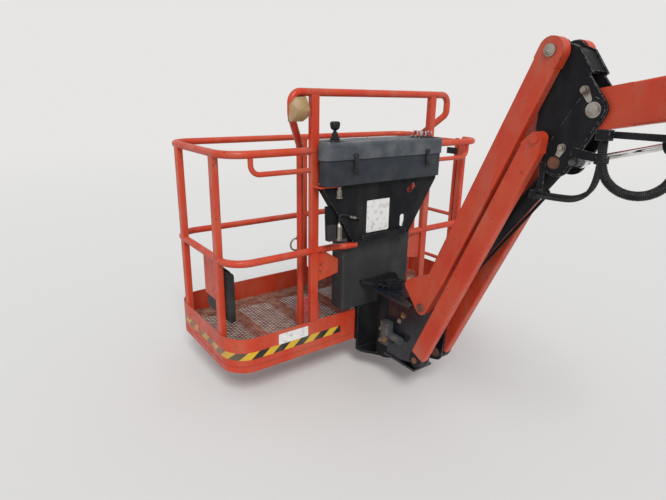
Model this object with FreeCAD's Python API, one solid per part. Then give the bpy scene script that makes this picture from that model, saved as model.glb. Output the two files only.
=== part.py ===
import FreeCAD, Part
import math
import os

# Work platform of an articulating boom lift, with its jib and the end of its boom. Millimetres.
# X runs along the platform, Y from the boom towards the platform, Z up. Everything is laid out from
# the middle of the platform's near side at the toe board's lower edge, and moved on writing so that
# the origin is the centre of the boom's end flange.

V = FreeCAD.Vector

# Platform outline, and heights above the toe board's lower edge
PLATFORM_LENGTH = 1830.0
PLATFORM_WIDTH = 780.0
CORNER_R = 140.0
TOE_HEIGHT = 192.0
TOE_WALL = 4.0
TOE_LIP_T = 13.0
TOE_LIP_W = 14.0
TOE_RIM = 34.0
TOE_GROOVE = 1.5
TOE_GROOVE_H = 5.0
RAIL_D = 38.0
RAIL_HEIGHT = 1120.0
MID_RAIL_HEIGHT = 593.0
POST_WIDTH = 48.0
POST_DEPTH = 34.0
POST_X = 414.0
END_POST_INSET = 158.0
FLOOR_HEIGHT = 62.0
MESH_T = 6.0
BEAM_W = 34.0
BEAM_X = 300.0
MESH_COLUMNS = 16
MESH_ROWS = 6
MESH_STRAND = 12.0

# Gate in the right-hand end, hinged on the far post
GATE_D = 30.0
GATE_BAR_R = 12.5
GATE_GAP = 9.0
GATE_BOTTOM = 214.0
GATE_LUG_T = 8.0
GATE_PIN_R = 7.0
GATE_LATCH_DROP = 80.0

# Hoop over the console, its lamp, and the hand loops beside it
GUARD_RISE = 280.0
GUARD_HEIGHT = RAIL_HEIGHT + GUARD_RISE
GUARD_HALF = 545.0
GUARD_BEND_Z = GUARD_HEIGHT - 110.0
GUARD_LEG_TOP = RAIL_HEIGHT + 10.0
GUARD_LEG_Y = 150.0
GUARD_BEND_R = 50.0
LOOP_D = 26.0
LOOP_X = 768.0
LOOP_DROP = 96.0
LOOP_Z = RAIL_HEIGHT - LOOP_DROP
LOOP_BEND_R = 48.0
LAMP = {"x": -482.0, "half": 39.0, "depth": 60.0, "height": 116.0}

# Control console and the column that carries it
CONSOLE_FRONT_Y = -95.0
CONSOLE_BACK_Y = 125.0
CONSOLE_HALF = 424.0
CONSOLE_NECK_HALF = 380.0
CONSOLE_CORNER_R = 40.0
CONSOLE_WALL = 8.0
LID_OVERHANG = 7.0
LID_EDGE_R = 14.0
LID_RISE = 45.0
LID_HEIGHT = 85.0
TRAY_HEIGHT = 130.0
LID_TOP_Z = RAIL_HEIGHT + LID_RISE
LID_BASE_Z = LID_TOP_Z - LID_HEIGHT
TRAY_BASE_Z = LID_BASE_Z - TRAY_HEIGHT
JOYSTICK_X = -307.0
TOGGLE_X = 345.0
STAND_TOP_HALF = 405.0
STAND_FOOT_HALF = 205.0
STAND_FRONT_Y = -60.0
STAND_DEPTH = 56.0
STAND_T = 6.0
STAND_SLOTS = ({"x": 211.0, "z": 889.0, "length": 68.0, "width": 36.0, "tilt": 38.0},
               {"x": 150.0, "z": 705.0, "length": 34.0, "width": 72.0, "tilt": 0.0})
CLAMP = {"half": 160.0, "depth": 24.0, "height": 38.0}
COLUMN_HALF = 250.0
COLUMN_FRONT_Y = -30.0
COLUMN_DEPTH = 110.0
COLUMN_BASE_Z = 225.0
COLUMN_TOP_Z = 625.0
COLUMN_WALL = 8.0
GUSSET_T = 8.0
GUSSET = {"post_low": 414.0, "post_high": 613.0, "column_low": 440.0, "column_high": 520.0}
SWITCH = {"x": -297.0, "y": 250.0, "r": 76.0, "height": 150.0}
END_BOX = {"front": 84.0, "width": 256.0, "depth": 95.0, "height": 278.0}
END_PLATE = {"below_rail": 14.0, "over_box": 20.0, "behind_box": 50.0, "height": 270.0, "t": 4.0}
RING_R = 34.0
RING_BAR_R = 5.0

# Jib: pivots in the side plane as (Y, Z), and what the links and plates measure
JIB_HEAD = (-1004.0, 1551.0)
JIB_FOOT = (-494.0, 379.0)
LINK_OFFSET = (13.7, -304.8)
RAM_PIN = (-1050.0, 1162.0)
BOOM_PIN = (-1164.0, 1355.0)
LEVEL_EYE = (-1118.0, 1171.0)
CHEEK_INNER = 47.0
CHEEK_OUTER = 59.0
ARM_INNER = 64.0
ARM_OUTER = 112.0
PIN_END = 119.0
STUB_START = 41.0
CHEEK_STEP = ((-1034.0, 1579.0), (-1081.0, 1560.0), (-1140.0, 1478.0), (-1116.0, 1459.0), (-1177.0, 1404.0),
              (-1120.0, 1380.0), (-1020.0, 1540.0))
HEAD_ROOF = ((-1046.0, 1566.0), (-1078.0, 1553.0), (-1128.0, 1484.0), (-1118.0, 1476.0), (-1071.0, 1541.0),
             (-1042.0, 1554.0))
HEAD_WEB = {"back": -1080.0, "t": 12.0, "low": 1272.0, "high": 1470.0}
KEEPER_BOLTS = ((BOOM_PIN, (-1125.0, 1420.0)), (RAM_PIN, (-1075.0, 1219.0)))
UPPER_HEIGHT = 96.0
UPPER_FOOT = ((-396.0, 468.0, 20.0), (-414.0, 492.0, 18.0), (-541.0, 547.0, 16.0), (-592.0, 528.0, 18.0))
LOWER_HEIGHT = 87.0
LINK_BOSS_R = 27.0
TUBE_WALL = 5.0
TUBE_EDGE_R = 9.0
CROSS_TUBE = {"y": -418.0, "z": 490.0, "r": 18.0}
PIN_R = 20.0
LOWER_PIN_R = 15.0
RUN_FIT = 0.05
FACE_GAP = 0.5

# Jib cylinder, from the head's ram pin to the foot pin
RAM_BARREL_R = 33.0
RAM_BORE_R = 26.0
RAM_ROD_R = 19.0
RAM_BARREL_END = 850.0
RAM_ROD_START = 65.0
RAM_PISTON = 30.0
RAM_GLAND = 50.0
RAM_EYE_R = 34.0
RAM_ROD_EYE_HALF = 28.0
RAM_LINE_R = 6.0

# Boom end, its flange, and the levelling cylinder under it
BOOM_SLOPE = 11.0
BOOM_HALF = 42.0
BOOM_HEIGHT = 140.0
BOOM_WALL = 6.0
BOOM_LENGTH = 800.0
NOSE_BACK = 118.0
FLANGE_SIDE = 240.0
FLANGE_T = 16.0
FLANGE_BOLTS = 8
FLANGE_BOLT_R = 105.0
FLANGE_HOLE_R = 7.0
LEVEL_BASE_BACK = 560.0
LEVEL_BASE_DROP = 112.0
LEVEL_BARREL_R = 25.0
LEVEL_BORE_R = 18.0
LEVEL_ROD_R = 12.0
LEVEL_NECK = 42.0
LEVEL_BARREL_END = 365.0
LEVEL_ROD_LENGTH = 338.0
LEVEL_GLAND = 22.0
LEVEL_EYE_R = 25.0
LEVEL_PIN_R = 11.0
LEVEL_HALF = 15.0

# Rotator under the platform's near side
SWIVEL_Y = -165.0
HOUSING_R = 78.0
HOUSING_BASE_Z = -43.0
DECK_Z = 352.0
DECK_T = 12.0
MOTOR_R = 21.0
MOTOR_LENGTH = 98.0
DECK_HALF = 124.0
DECK_REAR_Y = -430.0
YOKE_T = 14.0
YOKE_GAP = 5.0
YOKE_HALF = 130.0
YOKE_END_R = 62.0
SHAFT_R = 30.0

# Hoses
CARRIER_HOSE = {"x": -141.0, "d": 32.0, "front": -1255.0, "rear": -1485.0, "centre_z": 1215.0}
HOSE_ARM = {"forward": -129.0, "up": 0.0}
LOOP_HOSE_D = 16.0
LOOP_HOSES = ({"name": "loop_hose_a", "x": -80.0, "drop": 0.0},
              {"name": "loop_hose_b", "x": -98.0, "drop": 8.0})
HOSE_BLOCKS = {"rear": (-1232.0, 1180.0), "front": (-1021.0, 1045.0), "outer": -108.0, "low_y": -1098.0}

JIB_LOW_HEAD = (JIB_HEAD[0] + LINK_OFFSET[0], JIB_HEAD[1] + LINK_OFFSET[1])
JIB_LOW_FOOT = (JIB_FOOT[0] + LINK_OFFSET[0], JIB_FOOT[1] + LINK_OFFSET[1])
half_length = PLATFORM_LENGTH / 2
rail_r = RAIL_D / 2
rail_inset = TOE_WALL + POST_DEPTH / 2
rail_x = half_length - rail_inset
rail_far = PLATFORM_WIDTH - rail_inset
nodes = {}


def box(x0, x1, y0, y1, z0, z1):
    return Part.makeBox(x1 - x0, y1 - y0, z1 - z0, V(x0, y0, z0))


def rod_x(x0, x1, centre, r):
    """Round bar along X at a (Y, Z) centre."""
    return Part.makeCylinder(r, x1 - x0, V(x0, centre[0], centre[1]), V(1, 0, 0))


def rod_y(y0, y1, r):
    return Part.makeCylinder(r, y1 - y0, V(0, y0, 0), V(0, 1, 0))


def rod_z(x, y, z0, z1, r):
    return Part.makeCylinder(r, z1 - z0, V(x, y, z0))


def both_sides(shape):
    """A solid with its mirror image across the middle plane."""
    return Part.Compound([shape, shape.mirror(V(0, 0, 0), V(1, 0, 0))])


def bent_path(points, radius=None):
    """Straight runs joined by arcs; with no radius each arc takes 0.45 of its shorter run."""
    edges = []
    start = points[0]
    for before, corner, after in zip(points, points[1:], points[2:]):
        to_start, to_end = before - corner, after - corner
        half = to_start.getAngle(to_end) / 2
        r = radius or 0.45 * min(to_start.Length, to_end.Length) * math.tan(half)
        u, w = to_start.normalize(), to_end.normalize()
        reach = r / math.tan(half)
        a, b = corner + u * reach, corner + w * reach
        middle = corner + (u + w).normalize() * (r / math.sin(half) - r)
        edges += [Part.LineSegment(start, a).toShape(), Part.Arc(a, middle, b).toShape()]
        start = b
    edges.append(Part.LineSegment(start, points[-1]).toShape())
    return Part.Wire(edges)


def round_bar(points, d, radius=None):
    """Round bar along a bent path."""
    ring = Part.Wire(Part.makeCircle(d / 2, points[0], points[1] - points[0]))
    return bent_path(points, radius).makePipeShell([ring], True, False)


def cord(name, points, d):
    """Free-hanging hose; prints its bend radii and its volume against section times length."""
    path = bent_path(points)
    hose = round_bar(points, d)
    radii = [e.Curve.Radius for e in path.Edges if hasattr(e.Curve, "Radius")]
    straight = math.pi * d * d / 4 * path.Length
    print(name, "radii", [round(r, 1) for r in radii], "volume ratio", round(hose.Volume / straight, 4))
    return hose


def belt_plate(circles, x0, x1):
    """Plate whose edge is a belt round circles (y, z, r), listed anticlockwise."""
    tangents = []
    for (y0, z0, r0), (y1, z1, r1) in zip(circles, circles[1:] + circles[:1]):
        length = math.hypot(y1 - y0, z1 - z0)
        a = math.atan2(z1 - z0, y1 - y0) - math.acos((r0 - r1) / length)
        tangents.append((V(x0, y0 + r0 * math.cos(a), z0 + r0 * math.sin(a)),
                         V(x0, y1 + r1 * math.cos(a), z1 + r1 * math.sin(a)), a))
    edges = []
    for i, (y, z, r) in enumerate(circles):
        arrive, leave = tangents[i - 1], tangents[i]
        middle = arrive[2] + ((leave[2] - arrive[2]) % (2 * math.pi)) / 2
        on_arc = V(x0, y + r * math.cos(middle), z + r * math.sin(middle))
        edges.append(Part.Arc(arrive[1], on_arc, leave[0]).toShape())
        edges.append(Part.LineSegment(leave[0], leave[1]).toShape())
    return Part.Face(Part.Wire(edges)).extrude(V(x1 - x0, 0, 0))


def prism(ring, along):
    """Solid from a closed ring of points moved along a vector."""
    return Part.Face(Part.makePolygon(ring + ring[:1])).extrude(along)


def polygon_plate(points, x0, x1):
    """Plate with straight edges through (Y, Z) points."""
    return prism([V(x0, y, z) for y, z in points], V(x1 - x0, 0, 0))


def round_long_edges(shape, axis, length, r):
    """Rounds the edges that run along one axis (0, 1 or 2) for more than the length."""
    edges = [e for e in shape.Edges
             if abs(e.Vertexes[0].Point[axis] - e.Vertexes[-1].Point[axis]) > length]
    return shape.makeFillet(r, edges)


def rounded_block(x0, x1, y0, y1, z0, z1, r):
    """Block with its four upright edges rounded."""
    return round_long_edges(box(x0, x1, y0, y1, z0, z1), 2, (z1 - z0) / 2, r)


def box_tube(x0, x1, y0, y1, z0, z1, wall, edge_r):
    """Box tube along Y, open at both ends, with rounded outer edges."""
    outer = round_long_edges(box(x0, x1, y0, y1, z0, z1), 1, (y1 - y0) / 2, edge_r)
    return outer.cut(box(x0 + wall, x1 - wall, y0 - 1, y1 + 1, z0 + wall, z1 - wall))


def distance(a, b):
    return math.hypot(b[0] - a[0], b[1] - a[1])


def laid_on(shape, start, end):
    """Moves a solid modelled along +Y from the origin onto the line between two (Y, Z) points."""
    placed = shape.copy()
    placed.rotate(V(0, 0, 0), V(1, 0, 0), math.degrees(math.atan2(end[1] - start[1], end[0] - start[0])))
    placed.translate(V(0, start[0], start[1]))
    return placed


def boom_place(shape):
    """From the boom's own frame, Y forward along it from the nose pin, to the layout."""
    placed = shape.copy()
    placed.rotate(V(0, 0, 0), V(1, 0, 0), -BOOM_SLOPE)
    placed.translate(V(0, BOOM_PIN[0], BOOM_PIN[1]))
    return placed


def boom_point(forward, up):
    s, c = math.sin(math.radians(BOOM_SLOPE)), math.cos(math.radians(BOOM_SLOPE))
    return (BOOM_PIN[0] + forward * c + up * s, BOOM_PIN[1] - forward * s + up * c)


# Boom end: tube, nose, flange and the lugs under it
def make_boom():
    half_high = BOOM_HEIGHT / 2
    tube_back = FLANGE_T - BOOM_LENGTH
    tube = box_tube(-BOOM_HALF, BOOM_HALF, tube_back, -NOSE_BACK, -half_high, half_high,
                    BOOM_WALL, TUBE_EDGE_R)
    nodes["boom_tube"] = boom_place(tube)
    square_nose = box(-BOOM_HALF, BOOM_HALF, -NOSE_BACK, 0, -half_high, half_high)
    nose = square_nose.fuse(rod_x(-BOOM_HALF, BOOM_HALF, (0, 0), half_high)).removeSplitter()
    nose = nose.cut(rod_x(-BOOM_HALF - 1, BOOM_HALF + 1, (0, 0), PIN_R + RUN_FIT))
    nodes["boom_nose"] = boom_place(nose)

    half_side = FLANGE_SIDE / 2
    flange = box(-half_side, half_side, -BOOM_LENGTH, tube_back, -half_side, half_side)
    flange = round_long_edges(flange, 1, FLANGE_T / 2, 20.0)
    flange = flange.cut(box(BOOM_WALL - BOOM_HALF, BOOM_HALF - BOOM_WALL, -BOOM_LENGTH - 1, 0,
                            BOOM_WALL - half_high, half_high - BOOM_WALL))
    for i in range(FLANGE_BOLTS):
        a = 2 * math.pi * (i + 0.5) / FLANGE_BOLTS
        start = V(FLANGE_BOLT_R * math.cos(a), -BOOM_LENGTH - 1, FLANGE_BOLT_R * math.sin(a))
        flange = flange.cut(Part.makeCylinder(FLANGE_HOLE_R, FLANGE_T + 2, start, V(0, 1, 0)))
    nodes["boom_flange"] = boom_place(flange)


def make_level_base():
    """Two lugs under the boom and the pin between them."""
    base = (-LEVEL_BASE_BACK, -LEVEL_BASE_DROP)
    pin = rod_x(-LEVEL_HALF - 17, LEVEL_HALF + 17, base, LEVEL_PIN_R)
    foot_z = -BOOM_HEIGHT / 2
    plate = belt_plate([(base[0], base[1], 21.0), (base[0] + 42, foot_z - 5, 5.0),
                        (base[0] - 42, foot_z - 5, 5.0)], LEVEL_HALF + 1, LEVEL_HALF + 12)
    nodes["level_base_lugs"] = boom_place(both_sides(plate).cut(pin))
    nodes["level_base_pin"] = boom_place(pin)


def make_carrier_hose():
    """Corrugated hose hanging beside the boom, with the brackets that hold its two ends."""
    h = CARRIER_HOSE
    rho = (h["front"] - h["rear"]) / 2
    centre_y = (h["front"] + h["rear"]) / 2
    chord = rho * math.tan(math.radians(22.5))
    top = h["centre_z"] + chord
    route = ((h["front"], top), (h["front"], h["centre_z"] - chord),
             (centre_y + chord, h["centre_z"] - rho), (centre_y - chord, h["centre_z"] - rho),
             (h["rear"], h["centre_z"] - chord), (h["rear"], top))
    nodes["carrier_hose"] = cord("carrier_hose", [V(h["x"], y, z) for y, z in route], h["d"])
    inner, outer = h["x"] + h["d"] / 2 + 1, h["x"] - h["d"] / 2 - 1
    front = box(outer, inner, h["front"] - 22, h["front"] + 22, top, top + 34)
    rear = box(outer, inner, h["rear"] - 22, h["rear"] + 22, top, top + 126)
    reach = boom_point(HOSE_ARM["forward"], HOSE_ARM["up"])
    hanger = polygon_plate([(h["front"] - 20, top + 10), (h["front"] + 20, top + 10),
                            (reach[0] + 14, reach[1] + 12), (reach[0] - 14, reach[1] + 12)],
                           inner - 6, inner)
    arm = box(inner, -BOOM_HALF, HOSE_ARM["forward"] - 11, HOSE_ARM["forward"] + 11,
              HOSE_ARM["up"] - 12, HOSE_ARM["up"] + 12)
    front = front.fuse(hanger).fuse(boom_place(arm))
    rear = rear.fuse(box(inner, -BOOM_HALF, h["rear"] - 14, h["rear"] + 14, top + 92, top + 120))
    nodes["carrier_hose_brackets"] = Part.Compound([front.removeSplitter(), rear.removeSplitter()])


# Levelling cylinder between boom and head
def make_level_cylinder():
    base = boom_point(-LEVEL_BASE_BACK, -LEVEL_BASE_DROP)
    length = distance(base, LEVEL_EYE)
    barrel = rod_x(-LEVEL_HALF, LEVEL_HALF, (0, 0), 20.0)
    barrel = barrel.fuse(box(-LEVEL_HALF, LEVEL_HALF, 0, LEVEL_NECK + 6, -17.0, 17.0))
    barrel = barrel.fuse(rod_y(LEVEL_NECK, LEVEL_BARREL_END, LEVEL_BARREL_R))
    barrel = barrel.cut(rod_y(LEVEL_NECK + 14, LEVEL_BARREL_END - LEVEL_GLAND, LEVEL_BORE_R))
    barrel = barrel.cut(rod_y(LEVEL_NECK + 14, LEVEL_BARREL_END + 1, LEVEL_ROD_R + RUN_FIT))
    barrel = barrel.cut(rod_x(-30, 30, (0, 0), LEVEL_PIN_R + RUN_FIT))
    nodes["level_barrel"] = laid_on(barrel.removeSplitter(), base, LEVEL_EYE)
    start = length - LEVEL_ROD_LENGTH
    rod = rod_y(start, length - 8, LEVEL_ROD_R)
    rod = rod.fuse(rod_y(start, start + 22, LEVEL_BORE_R - RUN_FIT))
    rod = rod.fuse(rod_x(1 - LEVEL_HALF, LEVEL_HALF - 1, (length, 0), LEVEL_EYE_R))
    rod = rod.cut(rod_x(-30, 30, (length, 0), LEVEL_PIN_R))
    nodes["level_rod"] = laid_on(rod.removeSplitter(), base, LEVEL_EYE)
    nodes["level_rod_pin"] = rod_x(FACE_GAP - LEVEL_HALF, LEVEL_HALF - FACE_GAP, LEVEL_EYE, LEVEL_PIN_R)


# Head bracket between boom and jib
def collared_pin(centre, r, half, collars, collar_r):
    """Pin across the middle plane with a collar over each (inner, outer) stretch on both sides."""
    pin = rod_x(-half, half, centre, r)
    for inner, outer in collars:
        pin = pin.fuse(rod_x(inner, outer, centre, collar_r))
        pin = pin.fuse(rod_x(-outer, -inner, centre, collar_r))
    return pin.removeSplitter()


def stub_pin(centre, r, collar_r, cap_r):
    """Pin through one cheek and one arm, with collars inside both and a cap outside."""
    pin = rod_x(STUB_START, PIN_END, centre, r)
    pin = pin.fuse(rod_x(STUB_START, CHEEK_INNER, centre, collar_r))
    pin = pin.fuse(rod_x(CHEEK_OUTER, ARM_INNER - FACE_GAP, centre, collar_r))
    pin = pin.fuse(rod_x(ARM_OUTER + FACE_GAP, PIN_END, centre, cap_r))
    return pin.removeSplitter()


def make_head():
    cheek = belt_plate([(RAM_PIN[0] - 10, RAM_PIN[1] + 3, 54.0), (JIB_LOW_HEAD[0], JIB_LOW_HEAD[1], 33.0),
                        (JIB_HEAD[0], JIB_HEAD[1], 45.0), (BOOM_PIN[0], BOOM_PIN[1], 46.0)],
                       CHEEK_INNER, CHEEK_OUTER)
    cheek = cheek.fuse(polygon_plate(CHEEK_STEP, CHEEK_INNER, CHEEK_OUTER)).removeSplitter()
    for centre, r in ((JIB_HEAD, PIN_R), (JIB_LOW_HEAD, LOWER_PIN_R), (RAM_PIN, PIN_R),
                      (BOOM_PIN, PIN_R), (LEVEL_EYE, LEVEL_PIN_R)):
        cheek = cheek.cut(rod_x(0, ARM_OUTER, centre, r))
    nodes["head_cheeks"] = both_sides(cheek)

    web = box(-CHEEK_INNER, CHEEK_INNER, HEAD_WEB["back"], HEAD_WEB["back"] + HEAD_WEB["t"], HEAD_WEB["low"],
              HEAD_WEB["high"])
    nodes["head_webs"] = Part.Compound([web, polygon_plate(HEAD_ROOF, -CHEEK_INNER, CHEEK_INNER)])

    outside = (CHEEK_OUTER, CHEEK_OUTER + 5)
    nodes["head_jib_pins"] = both_sides(stub_pin(JIB_HEAD, PIN_R, 31.0, PIN_R + 2))
    nodes["head_link_pins"] = both_sides(stub_pin(JIB_LOW_HEAD, LOWER_PIN_R, 24.0, LOWER_PIN_R + 2))
    nodes["head_ram_pin"] = collared_pin(RAM_PIN, PIN_R, CHEEK_OUTER + 9,
                                         [(RAM_EYE_R + FACE_GAP, CHEEK_INNER), outside], 24.0)
    nodes["boom_nose_pin"] = collared_pin(BOOM_PIN, PIN_R, CHEEK_OUTER + 9,
                                          [(BOOM_HALF + FACE_GAP, CHEEK_INNER), outside], 27.0)
    level_pin = rod_x(LEVEL_HALF, CHEEK_OUTER + 6, LEVEL_EYE, LEVEL_PIN_R)
    level_pin = level_pin.fuse(rod_x(LEVEL_HALF, CHEEK_INNER, LEVEL_EYE, 17.0))
    nodes["level_eye_pins"] = both_sides(level_pin.removeSplitter())


def make_pin_keepers():
    """Strap and bolt beside the boom pin and the ram pin."""
    keepers = []
    for pin, bolt in KEEPER_BOLTS:
        near = (pin[0] + 0.52 * (bolt[0] - pin[0]), pin[1] + 0.52 * (bolt[1] - pin[1]))
        strap = belt_plate([(near[0], near[1], 10.0), (bolt[0], bolt[1], 15.0)], CHEEK_OUTER, CHEEK_OUTER + 4)
        strap = strap.cut(rod_x(CHEEK_OUTER - 1, CHEEK_OUTER + 6, pin, 28.0))
        keepers.append(both_sides(strap.fuse(rod_x(CHEEK_OUTER, CHEEK_OUTER + 13, bolt, 13.0))))
    nodes["pin_keepers"] = Part.Compound(keepers)


def make_loop_hoses():
    """Two thin hoses under the head, between a rear and a front block on the left cheek."""
    rear_y, rear_z = HOSE_BLOCKS["rear"]
    front_y, front_z = HOSE_BLOCKS["front"]
    rho = 90.0
    turn = rho * (1 - math.tan(math.radians(22.5)))
    for h in LOOP_HOSES:
        low = front_z - h["drop"]
        route = ((rear_y, rear_z), (rear_y, low + 7 + turn), (rear_y + turn, low + 7),
                 (HOSE_BLOCKS["low_y"], low), (front_y, low))
        nodes[h["name"]] = cord(h["name"], [V(h["x"], y, z) for y, z in route], LOOP_HOSE_D)
    outer, inner = HOSE_BLOCKS["outer"], -CHEEK_OUTER
    rear = box(outer, inner, rear_y - 14, rear_y + 14, rear_z, rear_z + 24)
    rear = rear.fuse(polygon_plate([(-1112.0, 1226.0), (rear_y - 14, rear_z + 24), (rear_y - 14, rear_z),
                                    (-1112.0, 1189.0)], inner - 6, inner))
    front = box(outer, inner, front_y, front_y + 24, front_z - 20, front_z + 12)
    front = front.fuse(box(inner - 6, inner, front_y, front_y + 24, front_z - 20, 1160.0))
    nodes["hose_bulkheads"] = Part.Compound([rear.removeSplitter(), front.removeSplitter()])


# Jib links: each is modelled along +Y from its head pin and laid on its line
def capped_tube(y0, y1, height):
    """Closed box tube of one side of a link."""
    tube = box_tube(ARM_INNER, ARM_OUTER, y0, y1, -height / 2, height / 2, TUBE_WALL, TUBE_EDGE_R)
    for start in (y0, y1 - TUBE_WALL):
        tube = tube.fuse(box(ARM_INNER + TUBE_WALL, ARM_OUTER - TUBE_WALL, start, start + TUBE_WALL,
                             TUBE_WALL - height / 2, height / 2 - TUBE_WALL))
    return tube.removeSplitter()


def make_upper_link():
    half = UPPER_HEIGHT / 2
    length = distance(JIB_HEAD, JIB_FOOT)
    tube = laid_on(capped_tube(46.0, length - 190, UPPER_HEIGHT), JIB_HEAD, JIB_FOOT)
    end = belt_plate([(0.0, 0.0, half), (44.0, 2 - half, 2.0), (44.0, half - 2, 2.0)], ARM_INNER, ARM_OUTER)
    end = laid_on(end, JIB_HEAD, JIB_FOOT).cut(rod_x(0, PIN_END, JIB_HEAD, PIN_R + RUN_FIT))
    foot = belt_plate([(JIB_FOOT[0], JIB_FOOT[1], 38.0), *UPPER_FOOT], ARM_INNER, ARM_OUTER)
    foot = foot.cut(laid_on(box(ARM_INNER, ARM_OUTER, 0, length - 190, -half, half), JIB_HEAD, JIB_FOOT))
    foot = foot.cut(rod_x(0, PIN_END, JIB_FOOT, PIN_R + RUN_FIT))
    nodes["upper_link_tubes"] = both_sides(tube)
    nodes["upper_link_ends"] = Part.Compound([both_sides(end), both_sides(foot)])
    nodes["upper_link_cross_tube"] = rod_x(-ARM_INNER, ARM_INNER, (CROSS_TUBE["y"], CROSS_TUBE["z"]), CROSS_TUBE["r"])


def make_lower_link():
    half = LOWER_HEIGHT / 2
    length = distance(JIB_LOW_HEAD, JIB_LOW_FOOT)
    bore_r = LOWER_PIN_R + RUN_FIT
    top = belt_plate([(0.0, 0.0, LINK_BOSS_R), (40.0, 2 - half, 2.0), (40.0, half - 2, 2.0)], ARM_INNER, ARM_OUTER)
    top = top.fuse(capped_tube(40.0, length - 34, LOWER_HEIGHT)).removeSplitter()
    nodes["lower_link_tubes"] = both_sides(laid_on(top.cut(rod_x(0, PIN_END, (0, 0), bore_r)),
                                                   JIB_LOW_HEAD, JIB_LOW_FOOT))
    knuckle = belt_plate([(length, 0.0, 38.0), (length - 32, half - 2, 2.0), (length - 32, 2 - half, 2.0)],
                         ARM_INNER, ARM_OUTER)
    knuckle = knuckle.cut(rod_x(0, PIN_END, (length, 0.0), bore_r))
    nodes["lower_link_knuckles"] = both_sides(laid_on(knuckle, JIB_LOW_HEAD, JIB_LOW_FOOT))


def make_jib_ram():
    length = distance(RAM_PIN, JIB_FOOT)
    barrel = rod_x(-RAM_EYE_R, RAM_EYE_R, (0, 0), RAM_EYE_R)
    barrel = barrel.fuse(rod_y(20.0, RAM_BARREL_END, RAM_BARREL_R))
    barrel = barrel.cut(rod_y(RAM_ROD_START - 15, RAM_BARREL_END - RAM_GLAND, RAM_BORE_R))
    barrel = barrel.cut(rod_y(RAM_ROD_START - 15, RAM_BARREL_END + 1, RAM_ROD_R + RUN_FIT))
    barrel = barrel.cut(rod_x(-40, 40, (0, 0), PIN_R + RUN_FIT))
    nodes["jib_ram_barrel"] = laid_on(barrel, RAM_PIN, JIB_FOOT)
    line_z = -RAM_BARREL_R - 12
    line_end = RAM_BARREL_END - 40
    line = round_bar([V(0, 120, 0), V(0, 120, line_z), V(0, line_end, line_z), V(0, line_end, 0)],
                     2 * RAM_LINE_R, 9.0)
    nodes["jib_ram_line"] = laid_on(line.cut(rod_y(0, RAM_BARREL_END, RAM_BARREL_R)), RAM_PIN, JIB_FOOT)
    rod = rod_y(RAM_ROD_START, length - 12, RAM_ROD_R)
    rod = rod.fuse(rod_y(RAM_ROD_START, RAM_ROD_START + RAM_PISTON, RAM_BORE_R - RUN_FIT))
    rod = rod.fuse(rod_x(-RAM_ROD_EYE_HALF, RAM_ROD_EYE_HALF, (length, 0), 31.0))
    rod = rod.cut(rod_x(-40, 40, (length, 0), PIN_R))
    nodes["jib_ram_rod"] = laid_on(rod.removeSplitter(), RAM_PIN, JIB_FOOT)
    nodes["jib_ram_rod_pin"] = rod_x(FACE_GAP - STUB_START, STUB_START - FACE_GAP, JIB_FOOT, PIN_R)


# Carrier at the jib's lower end, with the rotator
def make_carrier():
    side = belt_plate([(JIB_LOW_FOOT[0], JIB_LOW_FOOT[1], 43.0), (-300.0, 2.0, 20.0),
                       (-300.0, DECK_Z - 21, 20.0), (JIB_FOOT[0], JIB_FOOT[1], 45.0)],
                      CHEEK_INNER, CHEEK_OUTER)
    side = side.fuse(box(CHEEK_INNER, CHEEK_OUTER, -312.0, SWIVEL_Y, -18.0, DECK_Z))
    side = side.cut(rod_x(0, PIN_END, JIB_FOOT, PIN_R)).cut(rod_x(0, PIN_END, JIB_LOW_FOOT, LOWER_PIN_R))
    bracket = side.fuse(side.mirror(V(0, 0, 0), V(1, 0, 0)))
    bracket = bracket.fuse(box(-CHEEK_INNER, CHEEK_INNER, -342.0, -330.0, -18.0, DECK_Z))
    bracket = bracket.fuse(box(-CHEEK_OUTER - 9, CHEEK_OUTER + 9, -440.0, SWIVEL_Y, -30.0, -18.0))
    bracket = bracket.cut(rod_z(0, SWIVEL_Y, HOUSING_BASE_Z, DECK_Z, HOUSING_R))
    deck = box(-DECK_HALF, DECK_HALF, DECK_REAR_Y, SWIVEL_Y, DECK_Z, DECK_Z + DECK_T)
    deck = deck.fuse(rod_z(0, SWIVEL_Y, DECK_Z, DECK_Z + DECK_T, DECK_HALF))
    deck = deck.cut(rod_z(0, SWIVEL_Y, DECK_Z - 1, DECK_Z + DECK_T + 1, SHAFT_R + RUN_FIT))
    nodes["carrier_bracket"] = bracket.fuse(deck).removeSplitter()

    housing = rod_z(0, SWIVEL_Y, HOUSING_BASE_Z, DECK_Z, HOUSING_R)
    nodes["rotator_housing"] = housing.cut(rod_z(0, SWIVEL_Y, HOUSING_BASE_Z - 1, DECK_Z + 1,
                                                 SHAFT_R + RUN_FIT))
    drive = rounded_block(-112.0, -CHEEK_OUTER, -262.0, -200.0, 60.0, 190.0, 10.0)
    drive = drive.fuse(Part.makeCylinder(MOTOR_R, MOTOR_LENGTH, V(-85.5, -250, 118), V(0, -1, 0)))
    drive = drive.fuse(Part.makeCylinder(MOTOR_R + 4, 22, V(-85.5, -250, 118), V(0, -1, 0)))
    nodes["rotator_drive"] = drive.cut(rod_z(0, SWIVEL_Y, 0, DECK_Z, HOUSING_R)).removeSplitter()

    nodes["foot_upper_pins"] = both_sides(stub_pin(JIB_FOOT, PIN_R, 30.0, PIN_R + 2))
    nodes["foot_lower_pins"] = both_sides(stub_pin(JIB_LOW_FOOT, LOWER_PIN_R, 24.0, LOWER_PIN_R + 2))


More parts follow.
